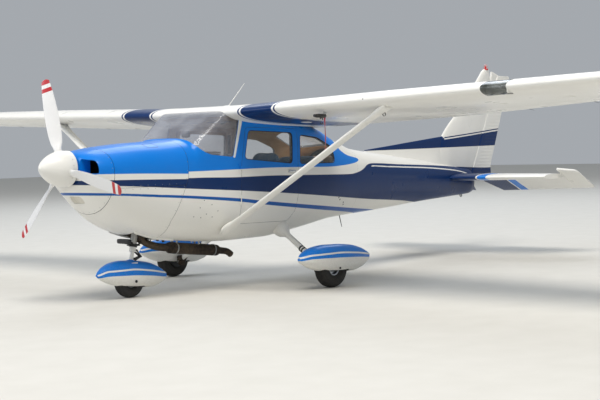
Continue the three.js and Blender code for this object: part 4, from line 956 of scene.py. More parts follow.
# tail
tail = dict(hingeX=6005, hingeZ=1040, droop=math.radians(26), half=1450, hornEnd=1725, bead=46,
            hinge=((5966, 1070), (6678, 2429)), stabLead=(5225, 5520),
            # height, station of the leading or trailing edge, half thickness
            finRows=[(1080, 5000, 44), (1190, 5060, 44), (1592, 5287, 42), (2050, 5826, 36), (2440, 6232, 31),
                     (2505, 6300, 27), (2530, 6345, 16)],
            rudderRows=[(1070, 6468, 24), (1180, 6462, 24), (2330, 6944, 20), (2425, 6985, 16), (2445, 6970, 10)])


# Tailplane: navy at the root, a white pin, a bright blue band, then white.
def tailPaint(points):
    y = np.abs(points[..., 1])
    return dict(navyField=508 - y, blueField=np.minimum(y - 530, 650 - y), pinField=np.full(len(y), -1e3))


# Tailplane: a thin symmetrical section ahead of a hollow 12 mm deep for the elevator's round nose.
def stabShape(sign):
    y = rowsOf(40, tail["half"] - 0.5, 60)[:, None]
    lead = tail["stabLead"][0] + (tail["stabLead"][1] - tail["stabLead"][0]) * y / tail["half"]
    chord = (tail["hingeX"] - lead) / 0.62
    s = np.linspace(-1, 1, 73)[None, :]
    f = (5972 - lead) / chord * np.abs(s) ** 1.8
    up, _ = foilAt(f, 0.085, 1e-9)
    skinPart = np.stack([lead + f * chord, y + 0 * f, tail["hingeZ"] - np.sign(s) * up * chord], -1)
    share = np.linspace(0, 1, 9)[None, 1:-1]
    half = up[:, -1:] * chord
    hollow = np.stack([5972 - 12 * np.sin(share * math.pi) + 0 * y, y + 0 * share,
                       tail["hingeZ"] - half * np.cos(share * math.pi)], -1)
    return capped(np.concatenate([skinPart, hollow], 1) * (1, sign, 1))


# A tapering surface behind a round nose: half thickness runs straight from the hinge to 1.5 mm.
def taperRings(span, nose, trail, half, pitch, count=20, ends=(0.1, 0.96)):
    t = np.linspace(0, 1, count)[None, :]
    nose, trail, half = (np.reshape(a, (-1, 1)) for a in (nose, trail, half))
    x = nose + (trail - nose) * t
    thick = half + (1.5 - half) * t
    reach = np.clip((t - ends[0]) / 0.06, 0, 1) * np.clip((ends[1] - t) / 0.05, 0, 1)
    ridge = beads(np.reshape(span, (-1, 1)), pitch, 2.2) * reach if pitch else 0 * thick
    angle = np.linspace(turn / 4, 3 * turn / 4, 11)[None, 1:-1]
    noseX, noseUp = nose + half * np.cos(angle), half * np.sin(angle)
    across = np.concatenate([x[:, ::-1], noseX, x], 1)
    up = np.concatenate([(thick + ridge)[:, ::-1], noseUp, -(thick + ridge)], 1)
    return across, up


# Elevator about its hinge line: an inner part with the beads, the horn outboard of the tailplane, and
# a tube that joins both sides.
def elevatorShape():
    r = rowsOf(0, 1, tail["bead"] / 6 / 1300)
    outerY = tail["half"] + 8
    y0 = 150 + (outerY - 150) * r
    trail = 485 + (410 - 485) * (y0 - 150) / (outerY - 150)
    half = 24 + (19 - 24) * (y0 - 150) / (outerY - 150)
    across, up = taperRings(y0, np.zeros_like(y0), trail, half, tail["bead"])
    start = 97 + np.clip((across - 60) / 460, 0, 1) * 150
    inner = np.stack([across, start + (outerY - start) * r[:, None], up], -1)
    hornY = rowsOf(outerY, tail["hornEnd"], 12)
    share = (hornY - outerY) / (tail["hornEnd"] - outerY)
    nose = np.interp(share, [0, 0.9, 1], [-205, -155, -105])
    trail = np.interp(share, [0, 0.9, 1], [409, 391, 355])
    half = np.interp(share, [0, 0.9, 1], [17, 15, 6])
    across, up = taperRings(hornY, nose, trail, half, tail["bead"], ends=(0.42, 0.96))
    horn = np.stack([across, np.broadcast_to(hornY[:, None], across.shape), up], -1)
    shapes = [capped(inner), capped(horn)]
    return joined([*shapes, *map(mirrored, shapes), tube([(0, -170, 0), (0, 0, 0), (0, 170, 0)], 16, 20)])


# The elevator hangs down at rest: x and z turn about the hinge line.
def droop(points):
    c, n = math.cos(tail["droop"]), math.sin(tail["droop"])
    x, y, z = np.moveaxis(points, -1, 0)
    return np.stack([tail["hingeX"] + x * c + z * n, y, tail["hingeZ"] - x * n + z * c], -1)


for side, sign in sides:
    makePiece("tailplane_skin_" + side, stabShape(sign), skin, hides=["tailplane_" + side], fields=tailPaint)
points, faces = elevatorShape()
makePiece("elevator_skin", (droop(points), faces), skin, "elevator", ["elevator"], tailPaint)

hingeSlope = (tail["hinge"][1][0] - tail["hinge"][0][0]) / (tail["hinge"][1][1] - tail["hinge"][0][1])


def hingeLineX(z):
    return tail["hinge"][0][0] + hingeSlope * (z - tail["hinge"][0][1])


# The port and starboard wall of an upright surface, the second with its columns turned round.
def bothWalls(x, wide, z):
    x, wide, z = np.broadcast_arrays(x, wide, z)
    return [np.stack([x, -wide, z], -1), np.stack([x, wide, z], -1)[:, ::-1]]


# Fin: thickness follows a smooth curve from a blunt leading edge; its rear steps forward at the
# rudder horn.
def finShape():
    rows = np.array(tail["finRows"], float)
    z = np.concatenate([rowsOf(1080, 1428, 40), rowsOf(1434, 1716, 6), rowsOf(1724, 2344, 40),
                        rowsOf(2345, 2530, 12)])
    lead = smoothCurve(z, rows[:, 0], rows[:, 1])
    half = smoothCurve(z, rows[:, 0], rows[:, 2])
    trail = np.where(z < 2344.5, hingeLineX(z) - 33, np.minimum(hingeLineX(z) - 33, 6480 - (z - 2345) * 0.14))
    f = np.linspace(0, 1, 26)[None, :] ** 1.5
    wide = half[:, None] * smoothCurve(f, [0, 0.006, 0.04, 0.14, 0.35, 0.7, 1], [0.02, 0.22, 0.5, 0.8, 1, 0.92, 0.5])
    one, other = bothWalls(lead[:, None] + (trail - lead)[:, None] * f, wide, z[:, None])
    return capped(np.concatenate([one, other[:, :-1]], 1))


# Dorsal fairing: half width edge + flare (1 - a)^2.2 from the tailcone up to a rounded top edge.
def dorsalShape():
    x = rowsOf(3647, 5330, 30)[:, None]
    top = 1449 + (x - 3647) * 0.0913
    share = (x - 3647) / 1683
    foot = hullRow(x)[1] - 40
    a = np.linspace(0, 1, 60)[None, :]
    edge = 5 + 12 * share
    wide = edge + (18 + 46 * share) * (1 - a) ** 2.2
    # its rear draws in and ends inside the fin
    near = np.clip((x - 5000) / 325, 0, 1)
    wide = wide + (36 - 22 * a - wide) * near * near * (3 - 2 * near)
    wide = wide * np.sqrt(np.clip(1 - np.clip((a - 0.86) / 0.14, 0, 1) ** 2, 0.0004, 1))
    return capped(np.concatenate(bothWalls(x, wide, foot + (top - foot) * a), 1))


# Rudder with its beads, and the horn above it that balances it ahead of the hinge.
def rudderShape():
    rows = np.array(tail["rudderRows"], float)
    z = rowsOf(1071, 2444, tail["bead"] / 6)
    trail, half = (np.interp(z, rows[:, 0], rows[:, k]) for k in (1, 2))
    across, up = taperRings(z, hingeLineX(z), trail, half, tail["bead"], ends=(0.14, 0.96))
    main = capped(np.stack([across, up, np.broadcast_to(z[:, None], across.shape)], -1))
    z = rowsOf(2356, 2500, 10)
    front, back = np.interp(z, [2356, 2500], [6492, 6522]), np.interp(z, [2356, 2440, 2500], [6700, 6740, 6560])
    half = np.interp(z, [2356, 2470, 2500], [15, 14, 8])
    across, up = taperRings(z, front + half, back, half, 0)
    return joined([main, capped(np.stack([across, up, np.broadcast_to(z[:, None], across.shape)], -1))])


makePiece("fin_skin", [finShape(), dorsalShape()], skin, hides=["fin"], fields=sidePaint)
makePiece("rudder_skin", rudderShape(), skin, "rudder", ["rudder"], sidePaint)

# rotating beacon: an orange-red moulded dome on a metal foot
beaconFoot, upward = (6391, 0, 2515), (0, 0, 1)
dome = lathe([(18, 0), (18, 30), (22, 33), (50, 31), (72, 24), (84, 12), (87, 0)], beaconFoot, upward, 32)
beaconLens = acrylic("orange_red_moulded_dome", "#ff4a12", 0.12)
makePiece("beacon_dome", dome, beaconLens, hides=["beacon"])
core = [lathe([(18, 0), (18, 12), (60, 12), (66, 0)], beaconFoot, upward, 16),
        lathe([(8, 0), (8, 37), (19, 37), (21, 34), (21, 0)], beaconFoot, upward, 32)]
makePiece("beacon_core", core, redPaint)
print("tail made")


# propeller: everything on it turns about a thrust line tilted down 2.8 degrees
propeller = dict(hubX=-1081, hubZ=1355, tilt=math.radians(2.8), phase=math.radians(-16.9),
                 radius=180, length=332, back=62, bladeHole=44,
                 # radius, chord, thickness, pitch in degrees
                 rows=[(70, 74, 66, 40), (190, 78, 58, 40), (270, 118, 30, 38), (400, 146, 20, 33),
                       (560, 152, 15, 27), (730, 138, 11, 22), (860, 112, 8, 19), (918, 82, 6, 18), (933, 40, 5, 18)])


def onShaft(points, spin=0.0):
    x, y, z = np.moveaxis(np.asarray(points, float), -1, 0)
    y, z = y * math.cos(spin) - z * math.sin(spin), y * math.sin(spin) + z * math.cos(spin)
    c, n = math.cos(propeller["tilt"]), math.sin(propeller["tilt"])
    return np.stack([propeller["hubX"] + x * c + z * n, y, propeller["hubZ"] - x * n + z * c], -1)


def spun(name, shape, finish, spin=0.0, hides=(), fields=None):
    makePiece(name, (onShaft(shape[0], spin), *shape[1:]), finish, "propeller", hides, fields)


# Blade: at each radius a thin section, chord/2 cos(a) by thickness/2 sin(a) with a flatter back,
# turned by its pitch.
def bladeShape():
    rows = np.array(propeller["rows"], float)
    share = np.linspace(0, 1, 60)
    radius = np.concatenate([70 + 845 * share ** 1.05, 915 + 18 * np.sin(np.linspace(0.1, 1, 12) * math.pi / 2)])
    chord, thick, pitch = (smoothCurve(radius, rows[:, 0], rows[:, k]) for k in (1, 2, 3))
    end = np.clip((radius - 890) / 43.6, 0, 1)
    chord = np.where(radius > 890, 104 * np.sqrt(1 - end ** 2.2) + 2, chord)
    a = np.arange(32) / 32 * turn
    along = chord[:, None] / 2 * np.cos(a)
    belly = np.clip((radius[:, None] - 240) / 100, 0, 1) * 0.45
    up = thick[:, None] / 2 * np.sin(a) * np.where(np.sin(a) > 0, 1 + 0.3 * belly, 1 - belly)
    twist = np.radians(pitch)[:, None]
    rings = np.stack([-along * np.sin(twist) + up * np.cos(twist), along * np.cos(twist) + up * np.sin(twist),
                      np.broadcast_to(radius[:, None], along.shape)], -1)
    return capped(rings)


# Grey-white enamel with red, white and red tips, worn to dull metal along the leading edge by grit.
def bladePaint():
    material, tree, shader = newMaterial("blade_enamel_on_forged_aluminium", "white_paint", Coat_Weight=0.2,
                                         Roughness=0.38)
    far = addNode(tree, "Attribute", attribute_name="reach", out="Fac")
    edge = addNode(tree, "Attribute", attribute_name="edge", out="Fac")
    paint = colour("#e4e4e4")
    for low, high in ((802, 844), (883, 940)):
        first = addNode(tree, "MapRange", (far, low - 1, low + 1))
        last = addNode(tree, "MapRange", (far, high + 1, high - 1))
        mask = addNode(tree, "Math", (first, last), operation="MULTIPLY")
        paint = addNode(tree, "Mix", {0: mask, 6: paint, 7: colour("#b80f1a")}, data_type="RGBA", out=2)
    place = addNode(tree, "TexCoord", out="Object")
    nicks = addNode(tree, "TexNoise", {"Vector": place, "Scale": 90, "Detail": 5})
    near = addNode(tree, "MapRange", (edge, 0.95, 1.06))
    spots = addNode(tree, "MapRange", (nicks, 0.42, 0.6))
    share = addNode(tree, "Math", (near, spots), operation="MULTIPLY")
    share = addNode(tree, "Math", (share, 0.3), operation="MULTIPLY")
    worn = addNode(tree, "Mix", {0: share, 6: paint, 7: colour("#b4b6b8")}, data_type="RGBA", out=2)
    gloss = addNode(tree, "MapRange", (nicks, 0.3, 0.7, 0.26, 0.44))
    bump = addNode(tree, "Bump", {"Strength": 0.15, "Distance": 0.002, "Height": nicks})
    wire(tree, shader, {"Base Color": worn, "Roughness": gloss, "Normal": bump})
    return material


bladeEnamel = bladePaint()
points, faces = bladeShape()
radii, chords = np.array(propeller["rows"], float).T[:2]
edge = np.abs(points[:, 1]) / np.maximum(np.interp(points[:, 2], radii, chords) / 2 * 0.8, 1)
spins = [propeller["phase"] + i * turn / 3 for i in range(3)]
for i, spin in enumerate(spins):
    spun(f"blade_{i + 1}", (points, faces), bladeEnamel, spin, [f"propeller_blade_{i + 1}"],
         dict(reach=points[:, 2], edge=edge))

# Spinner: spun from aluminium, radius R (1 - (1 - w)^1.6)^0.7 with w = 1.1 of the way along it, cut
# round each blade, on a back plate.
def spinnerAt(u, v):
    a = np.clip(u / 250, 0, 1) * math.pi / 2
    x = propeller["back"] - propeller["length"] + (propeller["length"] - 40) * (1 - np.cos(a))
    x = np.where(u > 250, propeller["back"] - 40 + (u - 250), x)
    r = propeller["radius"] * (1 - (1 - np.minimum(1.1 * (1 - np.cos(a)), 1)) ** 1.6) ** 0.7
    return np.stack([x, r * np.cos(v), r * np.sin(v)], -1)


def spinnerDistance(points):
    holes = []
    for spin in spins:
        out = np.array([-math.sin(spin), math.cos(spin)])
        across = points[..., 1] * out[1] - points[..., 2] * out[0]
        outward = points[..., 1] * out[0] + points[..., 2] * out[1]
        holes.append(np.where(outward > 0, np.hypot(points[..., 0], across) - propeller["bladeHole"], 1e3))
    return np.min(holes, 0)


grid = np.meshgrid(np.concatenate([[0.01], rowsOf(3, 290, 8)]), np.linspace(0, turn, 120), indexing="ij")
points, faces = cutSurface(spinnerAt, *(g.ravel() for g in grid), gridFaces(*grid[0].shape), spinnerDistance, 8, 150)
shell = thicken(points, facingOut(points, faces, (0, 0, 0)), 2)
spun("spinner_shell", shell, [whiteEnamel, innerSkin, gapShadeAndBareMetal], hides=["spinner"])
onAxis = dict(centre=(0, 0, 0), axis=(1, 0, 0))
plate = [(50, 0), (50, 176), (51, 181.5), (62, 181.5), (62, 0)]
hub = [(-60, 0), (-60, 40), (-52, 52), (0, 62), (46, 62), (46, 50), (340, 48), (340, 0)]
clamp = [(55, 0), (55, 43), (150, 43), (150, 41), (170, 41), (170, 43.5), (178, 43.5), (178, 0)]
spun("spinner_back_plate", lathe(plate, **onAxis, count=64), whiteEnamel)
spun("propeller_hub", lathe(hub, **onAxis, count=32), bareAlloy)
for i, spin in enumerate(spins):
    spun(f"blade_clamp_{i + 1}", lathe(clamp, (0, 0, 0), (0, 0, 1), 36), whiteEnamel, spin)
angle = np.arange(18) / 18 * turn + 0.17
ring = np.stack([np.full(18, 16.0), 180 * np.cos(angle), 180 * np.sin(angle)], -1)
spun("spinner_screws", studs(ring, ring * (0, 1, 1) / 180, 4.5, 1.4), steel)
print("propeller made")


# landing gear
gear = dict(
    main=dict(x=1492, y=1250, radius=210, width=150, rim=78), nose=dict(x=-262, y=0, radius=172, width=118, rim=64),
    # fraction of the length, half width, rise, fall
    drop=[(0, 0.06, 0.1, 0.1), (0.012, 0.22, 0.2, 0.18), (0.03, 0.34, 0.3, 0.27), (0.09, 0.62, 0.57, 0.48),
          (0.2, 0.88, 0.85, 0.76), (0.35, 1, 0.99, 0.96), (0.52, 0.97, 1, 1), (0.7, 0.76, 0.92, 0.99),
          (0.86, 0.42, 0.66, 0.76), (0.96, 0.14, 0.36, 0.42), (1, 0.05, 0.21, 0.24)],
    mainFairing=dict(front=985, rear=2140, top=458, bottom=158, tip=335, drop=45, half=140, y=-1250, slot=(222, 87),
                     pin=[(985, 350), (1116, 373), (1437, 376), (1800, 352), (2140, 310)],
                     low=[(985, 318), (1114, 334), (1435, 326), (1800, 305), (2140, 274)]),
    noseFairing=dict(front=-682, rear=252, top=380, bottom=100, tip=262, drop=80, half=116, y=0, slot=(179, 66),
                     pin=[(-682, 262), (-579, 297), (-324, 298), (-67, 270), (252, 214)],
                     low=[(-682, 232), (-579, 248), (-324, 239), (-67, 215), (252, 170)]),
    # x, y, z and radius down the leg
    leg=[(1616, -372, 642, 96), (1612, -400, 620, 95), (1608, -440, 597, 92), (1606, -465, 581, 84),
         (1602, -490, 566, 66), (1597, -515, 551, 46), (1593, -540, 537, 36), (1588, -565, 522, 31),
         (1560, -730, 427, 30), (1520, -960, 299, 29), (1496, -1095, 222, 28), (1492, -1142, 195, 25)],
    brakeLine=[(1572, 1122, 245), (1582, 1080, 270), (1556, 1000, 300), (1560, 880, 372), (1590, 640, 508),
               (1604, 540, 566)],
    stripe=9,  # half the white stripe
)


# Wheel fairing: a rounded section, y = half |cos|^0.84 and z from the tip line by |sin|^0.84, whose
# size follows the drop rows along the length.
def fairingAt(shape, u, v):
    rows = np.array(gear["drop"], float)
    f = np.clip((u - shape["front"]) / (shape["rear"] - shape["front"]), 0, 1)
    wide, rise, fall = (smoothCurve(f, rows[:, 0], rows[:, k]) for k in (1, 2, 3))
    c, n = np.cos(v), np.sin(v)
    middle = shape["tip"] - shape["drop"] / 2
    reach = np.where(n > 0, (shape["top"] - middle) * rise, (middle - shape["bottom"]) * fall)
    return np.stack([u + 0 * v, shape["y"] + np.sign(c) * np.abs(c) ** 0.84 * shape["half"] * wide,
                     shape["tip"] - shape["drop"] * f + np.sign(n) * np.abs(n) ** 0.84 * reach], -1)


# Blue above the white stripe and again below it; the two tips follow the lower line.
def fairingPaint(points, shape):
    x, z = points[..., 0], points[..., 2]
    pin, low, stripe = smoothLine(shape["pin"]), smoothLine(shape["low"]), (0, gear["stripe"])
    front, rear = shape["front"], shape["rear"]
    over = polygonDistance(x, z, np.vstack([pin + stripe, [(rear + 9, 900), (front - 9, 900)]]))
    under = polygonDistance(x, z, np.vstack([pin - stripe, low[::-1]]))
    above = np.where(z > np.interp(x, low[:, 0], low[:, 1]), 1.0, -1.0)
    ends = np.where((x < front + 1) | (x > rear - 1), above, -1e3)
    far = np.full(len(x), -1e3)
    return dict(blueField=np.max([over, under, ends], 0), navyField=far, pinField=far)


def buildFairing(name, shape, wheel, body, hides, starboard=False, rows=78, cols=97, tipCols=73):
    reach, half = shape["slot"]
    slot = [(wheel["x"] + a * reach, shape["y"] + b * half) for a, b in ((-1, -1), (1, -1), (1, 1), (-1, 1))]

    def distance(points):
        opening = roundedDistance(points[..., 0], points[..., 1], slot, 40)
        return np.where(points[..., 2] < wheel["radius"] + 60, -opening, 1e3)

    share = np.linspace(0, 1, rows)
    x = shape["front"] + (shape["rear"] - shape["front"]) * (share - 0.06 * np.sin(turn * share))
    u, v = (g.ravel() for g in np.meshgrid(x, np.linspace(0, turn, cols), indexing="ij"))
    points, faces = cutSurface(lambda a, b: fairingAt(shape, a, b), u, v, gridFaces(rows, cols), distance, 11, 130)
    shapes = [(points, facingOut(points, faces, points.mean(0)))]
    # both ends close in a rounded nub
    for end, way, length in ((0, -1, 14), (-1, 1, 8)):
        ring = fairingAt(shape, np.full(tipCols, x[end]), np.linspace(0, turn, tipCols))
        nub = ring.mean(0) + (way * length, 0, 0)
        rings = np.concatenate([ring, ring + (nub - ring) * (0.6, 0.2, 0.2), ring + (nub - ring) * (0.95, 0.6, 0.6),
                                np.broadcast_to(nub, ring.shape)])
        grid = gridFaces(4, tipCols)
        shapes.append((rings, grid[:, ::-1] if np.sum(pointNormals(rings, grid)[:, 0]) * way < 0 else grid))
    points, faces = joined(shapes)
    order = np.unique(np.round(points, 2), axis=0, return_inverse=True)[1].ravel()
    first = np.unique(order, return_index=True)[1]
    points, faces, kinds = thicken(points[first], order[faces], 4)
    fields = fairingPaint(points, shape)
    if starboard:
        points, faces = mirrored((points, faces))
    makePiece(name, (points, faces, kinds), [skin, innerSkin, whiteEnamel], body, hides, fields)


for side, sign in sides:
    buildFairing("main_fairing_shell_" + side, gear["mainFairing"], gear["main"], "fuselage",
                 ["main_fairing_" + side], sign > 0)
buildFairing("nose_fairing_shell", gear["noseFairing"], gear["nose"], "nose_steering", ["nose_fairing"])


# Tyre: a turned section, fuller than a circle, with four straight grooves and a ridge at the bead.
def tyreRows(wheel):
    radius, half, rim = wheel["radius"], wheel["width"] / 2, wheel["rim"]
    a = np.linspace(-math.pi / 2 - 0.55, math.pi / 2 + 0.55, 120)
    middle = (radius + rim) / 2 + 4
    tall = radius - middle
    across = half * np.sign(np.sin(a)) * np.abs(np.sin(a)) ** 0.8
    out = middle + tall * np.sign(np.cos(a)) * np.abs(np.cos(a)) ** 0.62
    groove = np.max([np.exp(-((across - at * half) / 3.0) ** 6) for at in (-0.46, -0.16, 0.16, 0.46)], 0)
    out = out - np.where(out > radius - 22, 5 * groove, 0)
    ridge = 1.6 * np.exp(-((out - rim - 26) / 3) ** 2)
    across = across + np.sign(across) * np.where(np.abs(across) > half * 0.6, ridge, 0)
    inner = [(half * 0.62, rim + 1), (-half * 0.62, rim + 1)]
    return np.vstack([np.column_stack([across, out]), inner, [(across[0], out[0])]])


# Rim: half of a dished section, and the same on the other side.
def rimRows(wheel):
    half, rim = wheel["width"] / 2 * 0.6, wheel["rim"]
    rows = [(-half * 0.7, 15), (-half * 0.7, rim * 0.36), (-half * 0.6, rim * 0.42), (-half * 0.3, rim * 0.52),
            (-half * 0.34, rim * 0.74), (-half * 0.9, rim * 0.86), (-half, rim * 0.9), (-half - 3, rim + 4),
            (-half + 2, rim + 5), (-half + 4, rim - 1)]
    return rows + [(-x, r) for x, r in rows[::-1]] + rows[:1]


def buildWheel(name, wheel, y, body):
    centre, across = (wheel["x"], y, wheel["radius"]), (0, 1, 0)
    makePiece(name + "_tread", lathe(tyreRows(wheel), centre, across, 64), rubber, body, [name + "_tyre"])
    makePiece(name + "_hub", lathe(rimRows(wheel), centre, across, 48), bareAlloy, body, [name + "_rim"])
    half, ring, angle = wheel["width"] / 2 * 0.6, wheel["rim"] * 0.62, np.arange(6) / 6 * turn
    for sign, letter in ((-1, "a"), (1, "b")):
        face = np.full(6, sign * half * 0.32)
        at = np.array(centre) + np.column_stack([ring * np.cos(angle), face, ring * np.sin(angle)])
        makePiece(f"{name}_bolts_{letter}", studs(at, np.tile((0.0, sign, 0.0), (6, 1)), 7, 9), steel, body)


# A rounded box whose y range is given outward from the middle, on one side of the aircraft.
def sideBox(sign, x, y, z, power):
    low, high = sorted((sign * y[0], sign * y[1]))
    return softBox((x[0], low, z[0]), (x[1], high, z[1]), power)


for side, sign in sides:
    buildWheel("main_wheel_" + side, gear["main"], sign * gear["main"]["y"], "main_wheel_" + side)
buildWheel("nose_wheel", gear["nose"], 0, "nose_wheel")

# main legs: sprung steel tubes in a flared cuff at the belly, with brake disc, caliper, hose and step
axleX, axleZ = gear["main"]["x"], gear["main"]["radius"]
for side, y in sides:
    path = smoothLine(gear["leg"], 60, 3)
    makePiece("leg_tube_" + side, tube(path[:, :3] * (1, -y, 1), path[:, 3], 32), whiteEnamel,
              hides=["main_gear_leg_" + side])
    makePiece("axle_" + side, tube([(axleX, y * out, axleZ) for out in (1120, 1180, 1245)], 14, 20), steel)
    makePiece("axle_flange_" + side, sideBox(y, (1462, 1524), (1128, 1146), (168, 246), 10), steel)
    disc = lathe([(-4, 30), (-4, 92), (4, 92), (4, 30), (-4, 30)], (axleX, y * 1172, axleZ), (0, 1, 0), 48)
    makePiece("brake_disc_" + side, disc, castIron, "main_wheel_" + side)
    inward = (0, -y, 0)
    makePiece("brake_caliper_" + side, [
        sideBox(y, (1530, 1592), (1120, 1164), (158, 258), 6),
        lathe([(-3, 0), (-3, 22), (10, 22), (14, 16), (14, 0)], (1562, y * 1122, 190), inward, 20)], blackPaint)
    makePiece("brake_cylinder_" + side, [
        sideBox(y, (1430, 1560), (1062, 1112), (196, 262), 5), sideBox(y, (1446, 1532), (1066, 1108), (140, 204), 5),
        lathe([(-4, 0), (-4, 26), (14, 26), (18, 16), (18, 0)], (1470, y * 1066, 176), inward, 20),
        lathe([(-4, 0), (-4, 14), (18, 14), (20, 0)], (1534, y * 1066, 232), inward, 12)], heatedSteel)
    line = smoothLine(gear["brakeLine"], 40, even=False) * (1, y, 1)
    makePiece("brake_line_" + side, tube(line, 4, 8), blackPaint)
    makePiece("entry_step_" + side, [
        sideBox(y, (1528, 1668), (868, 930), (336, 346), 8),
        tube([(1540, y * 900, 341), (1552, y * 905, 322), (1543, y * 912, 306)], 7, 10)], blackPaint)

# a bolt head on the axle line of each fairing
for side, sign in sides:
    bolt = studs([(axleX, sign * 1383.0, 212)], [(0, float(sign), 0)], 11, 9, 12)
    makePiece("fairing_bolt_" + side, bolt, blackPaint)

# nose gear: oleo strut clamped to the firewall, piston, torque links, steering rods, fork
nose = dict(top=(-90, 1000), low=(-205, 470))
slope = (nose["top"][0] - nose["low"][0]) / (nose["top"][1] - nose["low"][1])


def steerX(z):
    return nose["low"][0] + slope * (z - nose["low"][1])


# A profile turned about the steering axis, from a height on it.
def onSteer(rows, z, count=32):
    return lathe(rows, (steerX(z), 0, z), (slope, 0, 1), count)


barrel = onSteer([(0, 22), (0, 34), (14, 35), (18, 34), (60, 34), (62, 37), (84, 37), (86, 34), (300, 34),
                  (302, 37), (330, 37), (332, 34), (520, 34), (540, 30), (540, 0), (0, 0)], 470)
makePiece("oleo_barrel", [barrel, softBox((-150, -40, 700), (154.5, 40, 760), 10),
                          softBox((-110, -40, 930), (154.5, 40, 975), 10)], whiteEnamel, hides=["nose_strut"])
makePiece("oleo_piston", onSteer([(0, 0), (0, 21), (118, 21), (118, 0)], 352), whiteEnamel, "nose_steering")
wheelX, wheelZ, arm = gear["nose"]["x"], gear["nose"]["radius"], gear["nose"]["width"] / 2 + 8
pins = [tube([(wheelX, y, wheelZ) for y in (-half, 0, half)], radius, count)
        for half, radius, count in ((124, 9, 16), (76, 14, 20))]
makePiece("fork_arms", [
    softBox((-278, -arm - 8, 349), (-190, arm + 8, 364), 10), softBox((-284, -arm - 8, 150), (-240, -arm, 363), 10),
    softBox((-284, arm, 150), (-240, arm + 8, 363), 10), *pins], whiteEnamel, "nose_steering", ["nose_fork"])
makePiece("tow_pin_caps", [lathe([(0, 0), (0, 15), (6, 15), (9, 9), (10, 0)], (wheelX, s * 115, wheelZ), (0, s, 0), 24)
                           for s in (-1, 1)], blackPaint, "nose_steering")
collar = onSteer([(0, 62), (10, 48), (18, 30), (22, 23), (14, 22), (0, 22), (0, 62)], 368)
makePiece("fairing_collar", collar, blueEnamel, "nose_steering")
# torque links: two forged triangles behind the piston, hinged at the knee
knee = np.array([-98.0, 0, 414])
for name, start, spread, pin, pinHalf, pinRadius, body in (
        ("torque_link_upper", (steerX(478) + 30, 0, 486), 34, 0, 38, 9, "fuselage"),
        ("torque_link_lower", (steerX(380) + 26, 0, 384), 30, 1, 20, 8, "nose_steering")):
    start = np.array(start, float)
    link = [tube([start + (0, s * spread, 0), (start + knee) / 2 + (0, s * spread * 0.6, 0), knee + (0, s * 10, 0)],
                 [8, 7, 8], 10, 1.4) for s in (-1, 1)]
    at = (start, knee)[pin]
    link.append(tube([at + (0, -pinHalf, 0), at, at + (0, pinHalf, 0)], pinRadius, 12))
    makePiece(name, link, blackPaint, body)
makePiece("steering_gear", [
    onSteer([(0, 34.5), (0, 44), (26, 44), (26, 34.5), (0, 34.5)], 520),
    *(tube([(-190, s * 62, 540), (-80, s * 90, 590), (80, s * 120, 660)], 7, 10) for s in (-1, 1)),
    tube([(-180, 60, 552), (-176, 120, 556), (-172, 178, 560)], [15, 15, 15], 18),
    tube([(-184, -50, 548), (-182, 0, 550), (-180, 70, 552)], 6, 10),
    softBox((-222, -74, 530), (-150, 74, 544), 8)], blackPaint)

# exhaust: header, silencer with end caps and clamps, tail pipe cut on the slant; rows of x, z and radius
silencer = dict(y=-100, straps=(300, 850), hangers=(300, 620), rows=[
    (-190, 1059, 30), (-190, 880, 30), (-190, 720, 30), (-178, 640, 31), (-150, 590, 34), (-110, 560, 36),
    (-60, 540, 38), (60, 505, 40), (170, 489, 41), (192, 486, 43), (206, 485, 56), (222, 483, 60), (262, 478, 61),
    (560, 443, 61), (880, 408, 61), (910, 404, 60), (926, 402, 52), (946, 399, 40), (1000, 392, 37),
    (1060, 382, 36), (1100, 364, 36), (1132, 341, 36)])
x, z, radius = smoothLine(silencer["rows"], 130, 2).T
path = np.column_stack([x, np.full(130, float(silencer["y"])), z])
makePiece("silencer_can", tube(path, radius, 36), heatedSteel, hides=["silencer"])


def canZ(x):
    return 478 - (x - 260) * 0.1105


strap = [(-9, 62.5), (-9, 64.5), (9, 64.5), (9, 62.5), (-9, 62.5)]
straps = [lathe(strap, (x, silencer["y"], canZ(x)), (1, 0, -0.11), 36) for x in silencer["straps"]]
hangers = [tube([(x, silencer["y"] + s * out, z) for out, z in ((30, canZ(x) + 52), (34, 540), (30, 600))], 5, 8, 2.5)
           for x in silencer["hangers"] for s in (-1, 1)]
makePiece("silencer_straps", straps + hangers, steel)
stub = tube([(-190, 130, 1000), (-188, 130, 780), (-150, 100, 640), (-120, 0, 590), (-90, -90, 552)], 30, 24)
makePiece("exhaust_crossover", stub, heatedSteel)
print("landing gear made")

# clamps on each leg, steering boots, damper and pipes under the nose
clamp = [(-7, 27), (-7, 36), (7, 36), (7, 27), (-7, 27)]
clamps = joined([lathe(clamp, spot, (0.13, 0.86, 0.49), 28) for spot in ((1550, -783, 396), (1544, -818, 377))])
for side, shape in (("port", clamps), ("starboard", mirrored(clamps))):
    makePiece("leg_clamps_" + side, shape, blackPaint)
bellows = [(0, 10)] + [(14 + 9 * k, 17 + 8 * (k % 2) + 0.8 * k) for k in range(9)] + [(100, 14), (100, 0)]
boots = [lathe(bellows, (-20, y * 118, 618), (0.92, 0, 0.39), 24) for y in (-1, 1)]
damper = [(-4, 0), (-4, 8), (0, 22), (120, 22), (124, 8), (190, 7), (190, 0)]
boots.append(lathe(damper, (-250, -40, 556), (0.5, 0.86, 0), 24))
makePiece("steering_boots", boots, rubber)
rods = [tube([(-196, y * 52, 540), (-110, y * 90, 578), (-20, y * 118, 618)], 7, 10) for y in (-1, 1)]
makePiece("steering_rods", rods, steel)
header = [tube([(60, -96, 700), (60, -98, 640), (60, -100, 566)], 16, 16),
          tube([(150, -60, 690), (150, -70, 620), (146, -92, 548)], 14, 16)]
makePiece("exhaust_headers", header, heatedSteel)
